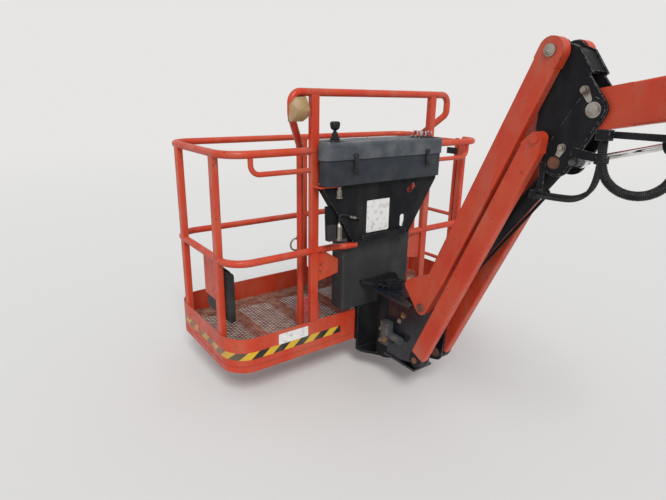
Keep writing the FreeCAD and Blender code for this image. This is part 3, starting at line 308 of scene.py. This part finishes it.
zinc = metal("zinc_steel", (0.38, 0.355, 0.315, 1), (0.19, 0.15, 0.115, 1), 0.34, 22, 0.0003)
chrome = metal("rod_chrome", (0.80, 0.80, 0.82, 1), (0.58, 0.56, 0.53, 1), 0.10, 9, 0.0001)
cast = metal("cast_grey", (0.10, 0.10, 0.105, 1), (0.055, 0.05, 0.045, 1), 0.5, 25, 0.0008, 0.3)
brass = metal("brass", (0.46, 0.30, 0.12, 1), (0.24, 0.15, 0.08, 1), 0.35, 60, 0.0002)
rusted_pin = metal("rusted_pin", (0.12, 0.042, 0.027, 1), (0.21, 0.095, 0.055, 1), 0.7, 45, 0.0006, 0.1)
rusty = metal("rusty_mesh", (0.17, 0.050, 0.028, 1), (0.33, 0.22, 0.155, 1), 0.55, 16, 0.0006, 0.1)
dress(zinc, "level_base_pin", "level_rod_pin", "head_jib_pins", "pin_keepers", "boom_nose_pin",
      "jib_ram_rod_pin", "lanyard_rings")
dress(orange, "head_link_pins")
dress(glossy_black, "rotator_shaft")
dress(chrome, "level_rod", "jib_ram_rod")
dress(cast, "rotator_drive", "level_eye_pins")
dress(rusted_pin, "head_ram_pin", "foot_upper_pins", "foot_lower_pins")


# Head bracket: a second plate is welded on each black cheek where the boom's pin and the jib cylinder's pin
# pass. A hexagon bolt holds each pin's keeper, and zinc-plated caps close the boom's pin and the upper links'.
NEAR_SIDE, TOE_BASE = 1.949302, -1.507647
CHEEK_OUTER, DOUBLER_T, KEEPER_HEIGHT = 0.059, 0.0035, 0.012
BOOM_PIN, UPPER_LINK_PIN = (-1.164, 1.355), (-1.004, 1.551)
BOOM_PIN_REACH, UPPER_LINK_PIN_REACH, CAP_SEAT = 0.068, 0.119, 0.001
KEEPER_BOLTS, KEEPER_BOLT_R, KEEPER_BOLT_HEIGHT = ((-1.125, 1.420), (-1.075, 1.219)), 0.0095, 0.011
DOUBLER_FRONT = ((-1.128, 1.418), (-1.100, 1.376), (-1.004, 1.204))
DOUBLER_FOOT, DOUBLER_FOOT_R, DOUBLER_HEEL_R = (-1.060, 1.165), 0.048, 0.040


def place(x, y, z):
    """Point from its distance to the platform's near side and its height above the toe board's lower edge."""
    return np.stack(np.broadcast_arrays(np.asarray(x, float), np.asarray(y) + NEAR_SIDE, np.asarray(z) + TOE_BASE),
                    -1)


def turned(start, direction, profile, sides=24, flats=0):
    """Grid of a form turned on a lathe: a profile of (distance along the axis, radius) is swept round the axis.
    With flats, the radius is that of a regular polygon: the profile's, over the cosine of the angle to the
    middle of the nearest flat."""
    axis = np.asarray(direction, float)
    axis = axis / np.linalg.norm(axis)
    spare = np.array([1.0, 0.0, 0.0]) if abs(axis[0]) < 0.9 else np.array([0.0, 1.0, 0.0])
    side = np.cross(axis, spare)
    side /= np.linalg.norm(side)
    other = np.cross(axis, side)
    turn = np.linspace(0, 2 * np.pi, sides, endpoint=False)
    wide = 1 / np.cos(turn % (2 * np.pi / flats) - np.pi / flats) if flats else np.ones(sides)
    ring = np.cos(turn)[:, None] * side + np.sin(turn)[:, None] * other
    along, radius = np.array(profile, float).T
    return np.asarray(start) + along[:, None, None] * axis + (radius[:, None] * wide)[:, :, None] * ring


def slab(outline, depth, soft=0.0008):
    """Grid of a plate: a closed outline moved along a depth vector, both rims drawn in by a soft edge."""
    outline, depth = np.asarray(outline, float), np.asarray(depth, float)
    middle = outline.mean(axis=0)
    out = outline - middle
    drawn = middle + out * (1 - soft / np.linalg.norm(out, axis=1, keepdims=True))
    share = soft / np.linalg.norm(depth)
    return np.stack([drawn, outline + share * depth, outline + (1 - share) * depth, drawn + depth])


def bolt_head(start, direction, r, height):
    """Hexagon head with a washer under it and a chamfered top."""
    washer = turned(start, direction, [(0, 1.45 * r), (0.12 * height, 1.5 * r), (0.2 * height, 1.45 * r)])
    head = turned(start, direction, [(0.2 * height, r), (0.85 * height, r), (height, 0.86 * r), (height, 0.3 * r)],
                  flats=6)
    return [washer, head]


def arc_points(centre, r, start, end, count=14):
    """Points on an arc of the side plane, with angles in degrees from +Y towards +Z."""
    a = np.radians(np.linspace(start, end, count))
    return np.column_stack([centre[0] + r * np.cos(a), centre[1] + r * np.sin(a)])


doubler = np.concatenate([DOUBLER_FRONT, arc_points(DOUBLER_FOOT, DOUBLER_FOOT_R, 20, -150),
                          arc_points(BOOM_PIN, DOUBLER_HEEL_R, 205, 118)])
pin_cap = [(0, 0.0165), (0.0018, 0.0165), (0.0032, 0.0145), (0.0032, 0.004), (0.0022, 0.003)]
doublers, fastenings = [], []
for side in (-1, 1):
    outline = place(side * CHEEK_OUTER, doubler[:, 0], doubler[:, 1])
    doublers.append(slab(outline, (side * DOUBLER_T, 0, 0)))
    for y, z in KEEPER_BOLTS:
        fastenings += bolt_head(place(side * (CHEEK_OUTER + KEEPER_HEIGHT), y, z), (side, 0, 0), KEEPER_BOLT_R,
                                KEEPER_BOLT_HEIGHT)
    for (y, z), reach in ((BOOM_PIN, BOOM_PIN_REACH), (UPPER_LINK_PIN, UPPER_LINK_PIN_REACH)):
        fastenings.append(turned(place(side * (reach - CAP_SEAT), y, z), (side, 0, 0), pin_cap))
skin("cheek_doublers", doublers, cheek_paint, "head")
skin("keeper_bolts", fastenings, zinc, "head")


# Corrugated hose's brackets: black blocks clamp both ends of the hose, and a flat bar joins them under the
# boom. The rear block has an arm that is welded to the boom's side.
HOSE_X, FRONT_Y, REAR_Y = -0.141, -1.255, -1.485
BLOCK_HALF, BLOCK_REACH, BLOCK_BASE, FRONT_RISE, REAR_RISE = 0.017, 0.022, 1.2626, 0.034, 0.126
BAR_X, BAR_T, BAR_LOW, BAR_HIGH = -0.124, 0.006, 0.008, 0.030
ARM_X, ARM_HALF, ARM_LOW, ARM_HIGH, BOOM_SIDE = -0.134, 0.014, 0.092, 0.120, -0.042


def side_box(x0, x1, y0, y1, z0, z1, soft=0.0015):
    """Grid of a block: its outline in the side plane moved along the platform's length."""
    return slab(place(x0, np.array([y0, y1, y1, y0]), np.array([z0, z0, z1, z1])), (x1 - x0, 0, 0), soft)


blocks = [side_box(HOSE_X - BLOCK_HALF, HOSE_X + BLOCK_HALF, y - BLOCK_REACH, y + BLOCK_REACH, BLOCK_BASE,
                   BLOCK_BASE + rise) for y, rise in ((FRONT_Y, FRONT_RISE), (REAR_Y, REAR_RISE))]
blocks.append(side_box(BAR_X - BAR_T, BAR_X, REAR_Y - BLOCK_REACH, FRONT_Y + BLOCK_REACH,
                       BLOCK_BASE + BAR_LOW, BLOCK_BASE + BAR_HIGH))
blocks.append(side_box(ARM_X, BOOM_SIDE, REAR_Y - ARM_HALF, REAR_Y + ARM_HALF,
                       BLOCK_BASE + ARM_LOW, BLOCK_BASE + ARM_HIGH))
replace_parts(skin("hose_blocks", blocks, black, "boom"), "carrier_hose_brackets")


# Carrier's fittings: brass and zinc-plated unions screwed into the drive's outer face and the left side plate,
# each a hexagon on a washer with a thinner plug in it.
DRIVE_FACE, SIDE_PLATE_FACE = -0.112, -0.0595
BRASS_UNIONS = ((DRIVE_FACE, -0.246, 0.093, 0.011), (SIDE_PLATE_FACE, -0.327, 0.257, 0.012))
ZINC_UNIONS = ((DRIVE_FACE, -0.212, 0.078, 0.009), (DRIVE_FACE, -0.214, 0.151, 0.009),
               (SIDE_PLATE_FACE, -0.300, 0.214, 0.010))
HEXAGON_HEIGHT, PLUG_HEIGHT = 0.008, 0.0138


def screwed_unions(unions):
    """Grids of unions, each given by its face, its place on that face and its hexagon's radius."""
    forms = []
    for x, y, z, r in unions:
        foot = place(x, y, z)
        forms += bolt_head(foot, (-1, 0, 0), r, HEXAGON_HEIGHT)
        forms.append(turned(foot, (-1, 0, 0), [(HEXAGON_HEIGHT / 2, 0.6 * r), (PLUG_HEIGHT - 0.0013, 0.6 * r),
                                               (PLUG_HEIGHT, 0.45 * r)]))
    return forms


skin("brass_unions", screwed_unions(BRASS_UNIONS), brass, "carrier")
skin("zinc_unions", screwed_unions(ZINC_UNIONS), zinc, "carrier")


# Toe board: folded orange sheet. A tape with black and yellow slanting stripes is stuck along the near side and
# round the left corner. The sun has bleached it and boots have rubbed it away towards the left end.
CORNER_X, CORNER_R, TAPE_T = 0.775, 0.140, 0.0012
TAPE_LOW, TAPE_HIGH, TAPE_END = 0.073, 0.114, -0.235
STRIPE_PITCH, STRIPE_LEAN = 0.128, 1.2
RUBBED_END, RUBBED_START, BLEACHED_END, BLEACHED_START = -1.15, -0.85, -1.0, -0.8
TAPE_YELLOW, TAPE_BLACK, TAPE_BLEACHED = (0.66, 0.40, 0.015, 1), (0.014, 0.013, 0.012, 1), (0.36, 0.22, 0.11, 1)


def calc(material, operation, *values):
    """One step of arithmetic on numbers or sockets."""
    return shader_node(material, "Math", dict(enumerate(values)), operation=operation).outputs["Value"]


def tape(m, coat):
    """Distance along the tape: x on the straight side, the corner's angle times its radius round the corner, and
    y along the end. The stripes are that distance less the height's lean, cut by its pitch."""
    split = shader_node(m, "SeparateXYZ", {"Vector": shader_node(m, "TexCoord").outputs["Object"]}).outputs
    x, y, z = split[0], split[1], split[2]
    past_x = calc(m, "MAXIMUM", calc(m, "SUBTRACT", -CORNER_X, x), 0.0)
    near_y = calc(m, "SUBTRACT", NEAR_SIDE + CORNER_R, y)
    past_y = calc(m, "MAXIMUM", near_y, 0.0)
    angle = calc(m, "ARCTAN2", past_x, past_y)
    along = calc(m, "SUBTRACT", calc(m, "MAXIMUM", x, -CORNER_X), calc(m, "MULTIPLY", angle, CORNER_R))
    along = calc(m, "SUBTRACT", along, calc(m, "MAXIMUM", calc(m, "MULTIPLY", near_y, -1.0), 0.0))
    height = calc(m, "SUBTRACT", z, TOE_BASE)
    phase = calc(m, "DIVIDE", calc(m, "SUBTRACT", along, calc(m, "MULTIPLY", height, STRIPE_LEAN)), STRIPE_PITCH)
    dark = calc(m, "LESS_THAN", calc(m, "FRACT", phase), 0.5)
    radius = calc(m, "SQRT", calc(m, "ADD", calc(m, "POWER", past_x, 2.0), calc(m, "POWER", past_y, 2.0)))
    outer = calc(m, "GREATER_THAN", radius, CORNER_R - TAPE_T)
    inside = calc(m, "MULTIPLY", calc(m, "GREATER_THAN", height, TAPE_LOW), calc(m, "LESS_THAN", height, TAPE_HIGH))
    inside = calc(m, "MULTIPLY", inside, calc(m, "LESS_THAN", along, TAPE_END))
    rubbed = shader_node(m, "MapRange", {"Value": along, "From Min": RUBBED_END, "From Max": RUBBED_START,
                                         "To Min": 0.56, "To Max": 0.72}).outputs["Result"]
    kept = calc(m, "LESS_THAN", cloud(m, 28, 0.0, 1.0, 6.0), rubbed)
    share = calc(m, "MULTIPLY", calc(m, "MULTIPLY", inside, outer), kept)
    stripes = mixed(m, dark, TAPE_YELLOW, TAPE_BLACK)
    bleached = shader_node(m, "MapRange", {"Value": along, "From Min": BLEACHED_END, "From Max": BLEACHED_START,
                                           "To Min": 0.55, "To Max": 0.0}).outputs["Result"]
    return mixed(m, share, coat, mixed(m, bleached, stripes, TAPE_BLEACHED))


dress(paint("toe_board_paint", ORANGE, FADED_ORANGE, RUST, DUST, 0.34, marking=tape), "toe_board")


# Blank plates: thin white enamelled sheets with rounded corners, scuffed and stained. One is stuck on the toe
# board above its tape, the other on the stand's face.
PLATE_T, PLATE_CORNER_R = 0.0014, 0.006


def rounded_frame(width, height, r, count=6):
    """Closed outline of a rectangle round the origin with a quarter circle at each corner."""
    a = np.radians(np.linspace(0, 90, count))
    corner = np.column_stack([np.cos(a), np.sin(a)]) * r
    quarters = []
    for quarter, (sx, sy) in enumerate(((1, 1), (-1, 1), (-1, -1), (1, -1))):
        c, s = round(math.cos(quarter * math.pi / 2)), round(math.sin(quarter * math.pi / 2))
        turned_corner = corner @ np.array([[c, s], [-s, c]])
        quarters.append(turned_corner + [sx * (width / 2 - r), sy * (height / 2 - r)])
    return np.concatenate(quarters)


plate_white = finish("blank_plate",
                     lambda m: mixed(m, cloud(m, 35, 0.5, 0.75, 7.0), (0.74, 0.73, 0.71, 1), (0.42, 0.39, 0.36, 1)),
                     lambda m: between(m, cloud(m, 40, 0.3, 0.7), 0.35, 0.6),
                     lambda m: cloud(m, 90, 0.3, 0.7), 0.0003)
for name, x, z, width, height, y in (("toe_plate", -0.552, 0.143, 0.186, 0.060, 0.0006),
                                     ("stand_plate", -0.038, 0.758, 0.164, 0.180, -0.0600)):
    rim = rounded_frame(width, height, PLATE_CORNER_R)
    outline = place(x + rim[:, 0], y, z + rim[:, 1])
    skin(name, [slab(outline, (0, -PLATE_T, 0), 0.0004)], plate_white, "platform")


# Floor: expanded metal, slit and stretched from one sheet. Each strand zigzags along the platform with flats
# where it is joined to the strands beside it, leans over, and is rusty where the paint has been walked off.
HALF_LENGTH, PLATFORM_WIDTH, TOE_WALL, END_GAP = 0.915, 0.780, 0.004, 0.003
STRAND_ROW, STRAND_PITCH, STRAND_COUNT = 0.0118, 0.044, 65
STRAND_SECTION = ((-0.0026, 0.0624), (-0.0006, 0.0622), (0.0026, 0.0672), (0.0006, 0.0678))


def expanded_metal():
    """Strand i lies at y = i rows. Four points a pitch make a wave with flat tops, whose phase swaps from strand
    to strand. Near the corners a strand is as short as the rounded outline is there: the corner's centre plus the
    root of its radius squared less the distance from that centre squared."""
    periods = round(2 * (HALF_LENGTH - TOE_WALL) / STRAND_PITCH)
    steps = (np.arange(periods)[:, None] + [0.0, 0.16, 0.5, 0.66]).ravel() / periods * 2 - 1
    high = np.tile([1.0, 1.0, -1.0, -1.0], periods)
    r = CORNER_R - TOE_WALL
    rows = (PLATFORM_WIDTH - 2 * TOE_WALL - STRAND_ROW) / STRAND_COUNT
    strands = []
    for i in range(STRAND_COUNT):
        y = TOE_WALL + STRAND_ROW / 2 + rows * (i + 0.5)
        into = max(CORNER_R - min(y, PLATFORM_WIDTH - y), 0.0)
        reach = HALF_LENGTH - CORNER_R + math.sqrt(r * r - into * into) - END_GAP
        line_y = y + (high if i % 2 else -high) * rows / 2
        strands.append(np.stack([place(steps * reach, line_y + dy, z) for dy, z in STRAND_SECTION], axis=1))
    return strands


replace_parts(skin("expanded_metal", expanded_metal(), rusty, "platform"), "floor_mesh")


# Moulded plastic: the console's dark tray and its paler lid, the gate's latch and the red cover of the foot
# switch. Each has a fine grain with dust in it, and is paler where it is rubbed.
def plastic(name, colour, worn, roughness, grain, depth):
    """Moulded plastic with a fine grain, paler where it is rubbed."""
    return finish(name, lambda m: mixed(m, cloud(m, 12, 0.42, 0.72, 7.0), colour, worn),
                  lambda m: between(m, cloud(m, 25, 0.3, 0.7), roughness, roughness + 0.18),
                  lambda m: cloud(m, grain, 0.35, 0.65), depth, shine=0.3)


dark_plastic = plastic("dark_plastic", (0.009, 0.010, 0.012, 1), (0.030, 0.029, 0.028, 1), 0.5, 700, 0.0004)
tray_plastic = plastic("tray_plastic", (0.020, 0.025, 0.032, 1), (0.036, 0.040, 0.046, 1), 0.48, 600, 0.0004)
lid_plastic = plastic("lid_plastic", (0.055, 0.064, 0.076, 1), (0.120, 0.126, 0.133, 1), 0.42, 600, 0.0004)
red_plastic = plastic("red_plastic", (0.52, 0.065, 0.07, 1), (0.62, 0.22, 0.19, 1), 0.38, 250, 0.0005)
dress(dark_plastic, "gate_latch")
dress(tray_plastic, "console_tray")
dress(lid_plastic, "console_lid")
dress(red_plastic, "foot_switch_cover")


# Lamp: a tan moulded shell with flat facets that rise to a level ridge. It faces the boom, and sits in a dark
# rim on the hoop's left leg.
LAMP_OUTLINE = ((-0.561, 1.346), (-0.538, 1.377), (-0.480, 1.379), (-0.464, 1.322), (-0.473, 1.283),
                (-0.499, 1.266), (-0.562, 1.266))
LAMP_RIDGE, RIM_ASIDE = 1.318, 0.005


def lamp_row(size, height, y, aside=0.0):
    """Row of the lamp: its outline scaled about its middle along the platform, and about the ridge in height."""
    line = np.array(LAMP_OUTLINE)
    middle = np.array([line[:, 0].mean(), LAMP_RIDGE])
    line = middle + (line - middle) * [size, height]
    return place(line[:, 0] + aside, y, line[:, 1])


tan_plastic = plastic("lamp_plastic", (0.33, 0.20, 0.075, 1), (0.42, 0.30, 0.18, 1), 0.4, 300, 0.0006)
facets = np.stack([lamp_row(0.99, 0.99, 0.018), lamp_row(1.0, 1.0, 0.014), lamp_row(1.0, 1.0, -0.012),
                   lamp_row(0.86, 0.62, -0.030), lamp_row(0.70, 0.06, -0.040)])
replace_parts(skin("lamp_lens", [facets], tan_plastic, "platform"), "lamp")
lamp_rim = np.stack([lamp_row(0.97, 1.0, 0.034, RIM_ASIDE), lamp_row(1.0, 1.03, 0.031, RIM_ASIDE),
                     lamp_row(1.0, 1.03, 0.004, RIM_ASIDE), lamp_row(0.97, 1.0, 0.001, RIM_ASIDE)])
skin("lamp_rim", [lamp_rim], dark_plastic, "platform")


# End box: a flat black moulded box for papers, closed by a shallow cap, is bolted to the inner face of the left
# end's near post. An orange sheet steel plate covers its back beyond the post.
BOX_FACE, BOX_DEPTH, BOX_NEAR, BOX_WIDTH, BOX_CORNER_R = -0.877, 0.034, 0.086, 0.296, 0.009
BOX_ROWS = ((0.262, 0.010), (0.267, 0.002), (0.275, 0.0), (0.516, 0.0), (0.524, 0.002), (0.530, 0.010),
            (0.5302, 0.013), (0.540, 0.015))
COVER_T, COVER_NEAR, COVER_FAR, COVER_LOW, COVER_HIGH = 0.004, 0.186, 0.390, 0.339, 0.560

box_section = rounded_frame(BOX_DEPTH, BOX_WIDTH, BOX_CORNER_R)
box_rows = []
for height, inset in BOX_ROWS:
    share = 1 - inset / (BOX_DEPTH / 2) * np.array([1.0, BOX_DEPTH / BOX_WIDTH])
    box_rows.append(place(BOX_FACE + BOX_DEPTH / 2 + box_section[:, 0] * share[0],
                          BOX_NEAR + BOX_WIDTH / 2 + box_section[:, 1] * share[1], height))
end_box = skin("document_box", [np.stack(box_rows)], dark_plastic, "platform")
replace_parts(end_box, "end_box")
cover = side_box(BOX_FACE - COVER_T, BOX_FACE, COVER_NEAR, COVER_FAR, COVER_LOW, COVER_HIGH, 0.001)
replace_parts(skin("end_cover", [cover], orange, "platform"), "end_plate")


# Console controls: a joystick with a broad grip on a ribbed boot at the left, and seven toggles with chromed
# levers on small boots at the right. Both stand on plates screwed to the lid.
LID_TOP, JOYSTICK_X, JOYSTICK_Y = 1.165, -0.307, -0.010
BOOT_FOOT_R, BOOT_NECK_R, FOLD_DEPTH, FOLDS = 0.0275, 0.012, 0.0022, 4
GRIP_ROWS = ((0.056, 0.45), (0.060, 0.72), (0.068, 0.88), (0.086, 1.0), (0.094, 0.92), (0.098, 0.70))
TOGGLES = ((0.255, 0.0), (0.295, 0.0), (0.335, 0.0), (0.375, 0.0), (0.275, -0.045), (0.315, -0.045),
           (0.355, -0.045))
PANELS = ((-0.352, -0.262, -0.055, 0.035), (0.235, 0.400, -0.070, 0.030))
PANEL_T, SCREW_INSET = 0.0015, 0.006

boot_rise = np.linspace(0.004, 0.046, 29)
boot_folds = FOLD_DEPTH * np.cos(np.linspace(0, FOLDS * 2 * np.pi, 29))
boot = np.column_stack([boot_rise, np.linspace(BOOT_FOOT_R, BOOT_NECK_R, 29) + boot_folds])
stick_foot = place(JOYSTICK_X, JOYSTICK_Y, LID_TOP)
grip_section = rounded_frame(0.052, 0.036, 0.013)
grip = np.stack([place(JOYSTICK_X + share * grip_section[:, 0], JOYSTICK_Y + share * grip_section[:, 1],
                       LID_TOP + rise) for rise, share in GRIP_ROWS])
joystick = [turned(stick_foot, (0, 0, 1), [(0, 0.0295), (0.004, 0.0295), (0.005, 0.028)]),
            turned(stick_foot, (0, 0, 1), boot),
            turned(stick_foot, (0, 0, 1), [(0.04, 0.0085), (0.060, 0.0085)]), grip]
boots, levers, screws = [], [], []
for i, (x, y) in enumerate(TOGGLES):
    foot = place(x, y, LID_TOP)
    lean = (0.0, 0.16 if i % 3 else -0.10, 1.0)
    boots.append(turned(foot, (0, 0, 1), [(0, 0.0078), (0.003, 0.0078), (0.006, 0.0062), (0.011, 0.0040)]))
    levers.append(turned(foot, lean, [(0.009, 0.0026), (0.022, 0.0034), (0.028, 0.0050), (0.033, 0.0048),
                                      (0.0352, 0.0026)], sides=14))
panels = []
for x0, x1, y0, y1 in PANELS:
    rim = rounded_frame(x1 - x0, y1 - y0, 0.006)
    panels.append(slab(place((x0 + x1) / 2 + rim[:, 0], (y0 + y1) / 2 + rim[:, 1], LID_TOP), (0, 0, PANEL_T)))
    for x in (x0 + SCREW_INSET, x1 - SCREW_INSET):
        for y in (y0 + SCREW_INSET, y1 - SCREW_INSET):
            screws.append(turned(place(x, y, LID_TOP + PANEL_T - 0.0001), (0, 0, 1),
                                 [(0, 0.0042), (0.0016, 0.0036), (0.0022, 0.0018)], sides=14))
controls = skin("console_boots", joystick + boots + panels, dark_plastic, "platform")
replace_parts(controls, "console_controls")
skin("console_levers", levers, chrome, "platform")
skin("panel_screws", screws, zinc, "platform")


# Console fastenings: two black rubber latches pull the lid down on the tray, each a strap with a catch at its
# top and a pull at its foot. Zinc-plated screws hold the lid's rim.
LATCHES, TRAY_FACE = (-0.233, 0.285), -0.0945
STRAP, PULL, CATCH = (0.020, 0.072, 0.006), (0.042, 0.014, 0.0068), (0.030, 0.020, 0.004)
STRAP_Z, PULL_Z, CATCH_Z = 1.060, 1.024, 1.098
LID_SCREWS = ((-0.385, -0.070), (-0.130, -0.072), (0.080, -0.072), (0.385, -0.040), (-0.345, 0.100),
              (0.345, 0.100), (0.0, 0.100))

latches = []
for x in LATCHES:
    for size, y, z, thick, soft in ((STRAP, TRAY_FACE, STRAP_Z, 0.006, 0.0015),
                                    (PULL, TRAY_FACE - 0.004, PULL_Z, 0.009, 0.002),
                                    (CATCH, TRAY_FACE, CATCH_Z, 0.009, 0.0015)):
        rim = rounded_frame(*size)
        latches.append(slab(place(x + rim[:, 0], y, z + rim[:, 1]), (0, -thick, 0), soft))
skin("lid_latches", latches, rubber, "platform")
lid_screws = [turned(place(x, y, LID_TOP - 0.0002), (0, 0, 1), [(0, 0.0055), (0.002, 0.0048), (0.003, 0.0024)],
                     sides=14) for x, y in LID_SCREWS]
skin("lid_screws", lid_screws, zinc, "platform")


# Group beside the stand: a black plate on the stand's left flange carries a grey junction box and a zinc-plated
# accumulator, from which a pipe with a valve leads to the stand. An orange shelf welded to the near post holds
# the tray's left corner, and a zinc-plated plug hangs below it.
GROUP_PLATE = ((-0.384, 0.842), (-0.376, 0.660), (-0.170, 0.640), (-0.200, 0.700), (-0.310, 0.842))
GROUP_FACE, GROUP_PLATE_T = -0.040, 0.006
JUNCTION_X, JUNCTION_Z, JUNCTION_WIDTH, JUNCTION_HEIGHT, JUNCTION_DEPTH = -0.356, 0.702, 0.050, 0.086, 0.032
ACCUMULATOR_FOOT, PLUG_FOOT, VALVE_END = (-0.305, -0.058, 0.652), (-0.316, -0.066, 0.884), (-0.244, -0.068, 0.778)
PIPE_BENDS = ((-0.305, -0.058, 0.748), (-0.305, -0.058, 0.790), (-0.290, -0.068, 0.796), (-0.180, -0.068, 0.759),
              (-0.170, -0.064, 0.752), (-0.168, -0.058, 0.720))
PIPE_R, PIPE_SLOPE = 0.006, -0.3
SHELF_X, SHELF_Y, SHELF_Z, SHELF_LENGTH, SHELF_WIDTH, SHELF_T = -0.366, -0.024, 0.940, 0.132, 0.084, 0.008

group_x, group_z = np.array(GROUP_PLATE).T
skin("group_plate", [slab(place(group_x, GROUP_FACE, group_z), (0, GROUP_PLATE_T, 0))], black, "platform")
rim = rounded_frame(JUNCTION_WIDTH, JUNCTION_HEIGHT, 0.006)
junction = place(JUNCTION_X + rim[:, 0], GROUP_FACE + 0.001, JUNCTION_Z + rim[:, 1])
skin("junction_box", [slab(junction, (0, -JUNCTION_DEPTH, 0), 0.003)], grey, "platform")
cans = [turned(place(*ACCUMULATOR_FOOT), (0, 0, 1), [(0, 0.012), (0.004, 0.017), (0.080, 0.017), (0.086, 0.012),
                                                     (0.094, 0.007), (0.100, 0.007)]),
        turned(place(*PLUG_FOOT), (0, 0, 1), [(0, 0.010), (0.0, 0.019), (0.008, 0.019), (0.010, 0.015),
                                              (0.040, 0.015), (0.044, 0.011), (0.058, 0.011)]),
        turned(place(*VALVE_END), (1, 0, PIPE_SLOPE), [(0, 0.006), (0.003, 0.008), (0.040, 0.008),
                                                       (0.043, 0.006)], flats=6)]
skin("accumulator", cans, zinc, "platform")
pipe_line, _ = evenly(smooth_line("pipe", place(*np.array(PIPE_BENDS).T)), 40)
skin("valve_pipe", [tube(pipe_line, PIPE_R, 12)], dark_plastic, "platform")
rim = rounded_frame(SHELF_LENGTH, SHELF_WIDTH, 0.004)
shelf = place(SHELF_X + rim[:, 0], SHELF_Y + rim[:, 1], SHELF_Z)
skin("tray_shelf", [slab(shelf, (0, 0, SHELF_T))], orange, "platform")


# Mid rail's left end: an orange tube comes out of the rail beside the column, bends round the column's corner
# and is welded to its front, where it ends against the stand's clamp bar.
RETURN_BENDS = ((-0.310, 0.021, 0.594), (-0.282, 0.016, 0.597), (-0.266, -0.040, 0.609), (-0.240, -0.047, 0.609),
                (-0.178, -0.047, 0.609))
RETURN_R = 0.0165
return_line, _ = evenly(smooth_line("rail_return", place(*np.array(RETURN_BENDS).T)), 48)
skin("rail_return", [tube(return_line, RETURN_R, 24)], orange, "platform")


# Studio: a pale floor below the part fades into a pale background, which shows to the camera and in glossy
# surfaces. The light is a soft sky from all round and one broad lamp high on the left.
FLOOR_DROP, FLOOR_R, FADE_START, FADE_END = 0.12, 60, 3.5, 16.0
FLOOR_COLOUR, BACKDROP, SKY = (0.66, 0.65, 0.63, 1), (0.80, 0.79, 0.775, 1), (0.93, 0.96, 1.0, 1)
SKY_STRENGTH, LAMP_STRENGTH, LAMP_WIDTH = 0.68, 2.0, math.radians(22)
LAMP_TILT, LAMP_ROLL = math.radians(38), math.radians(-22)

floor_z = cad_box[0][2] - FLOOR_DROP
floor_mesh = bpy.data.meshes.new("studio_floor")
turn = np.linspace(0, 2 * np.pi, 64, endpoint=False)
floor_mesh.from_pydata(np.column_stack([FLOOR_R * np.cos(turn), FLOOR_R * np.sin(turn), np.full(64, floor_z)]),
                       [], [list(range(64))])
floor = bpy.data.objects.new("studio_floor", floor_mesh)
bpy.context.scene.collection.objects.link(floor)
ground = bpy.data.materials.new("studio_floor")
ground.use_nodes = True
ground_shader = ground.node_tree.nodes["Principled BSDF"]
ground_shader.inputs["Base Color"].default_value = FLOOR_COLOUR
ground_shader.inputs["Roughness"].default_value = 0.9
away = shader_node(ground, "VectorMath", {0: shader_node(ground, "TexCoord").outputs["Object"]},
                   operation="LENGTH").outputs["Value"]
far = shader_node(ground, "MapRange", {"Value": away, "From Min": FADE_START, "From Max": FADE_END},
                  interpolation_type="SMOOTHSTEP").outputs["Result"]
glow = shader_node(ground, "Emission", {"Color": BACKDROP, "Strength": 1.0}).outputs["Emission"]
blended = shader_node(ground, "MixShader", {0: far, 1: ground_shader.outputs["BSDF"], 2: glow}).outputs["Shader"]
ground.node_tree.links.new(blended, ground.node_tree.nodes["Material Output"].inputs["Surface"])
floor_mesh.materials.append(ground)

world = bpy.data.worlds.new("studio")
world.use_nodes = True
sky = world.node_tree
sky.nodes["Background"].inputs["Color"].default_value = SKY
sky.nodes["Background"].inputs["Strength"].default_value = SKY_STRENGTH
seen = sky.nodes.new("ShaderNodeBackground")
seen.inputs["Color"].default_value = BACKDROP
seen.inputs["Strength"].default_value = 1.0
path = sky.nodes.new("ShaderNodeLightPath")
direct = path.outputs["Is Camera Ray"]
for ray in ("Is Glossy Ray", "Is Transmission Ray"):
    either = sky.nodes.new("ShaderNodeMath")
    either.operation = "MAXIMUM"
    sky.links.new(direct, either.inputs[0])
    sky.links.new(path.outputs[ray], either.inputs[1])
    direct = either.outputs["Value"]
which = sky.nodes.new("ShaderNodeMixShader")
sky.links.new(direct, which.inputs[0])
sky.links.new(sky.nodes["Background"].outputs["Background"], which.inputs[1])
sky.links.new(seen.outputs["Background"], which.inputs[2])
sky.links.new(which.outputs["Shader"], sky.nodes["World Output"].inputs["Surface"])
bpy.context.scene.world = world
lamp_data = bpy.data.lights.new("key", "SUN")
lamp_data.energy = LAMP_STRENGTH
lamp_data.angle = LAMP_WIDTH
key = bpy.data.objects.new("key", lamp_data)
key.rotation_euler = (LAMP_TILT, LAMP_ROLL, 0.0)
bpy.context.scene.collection.objects.link(key)
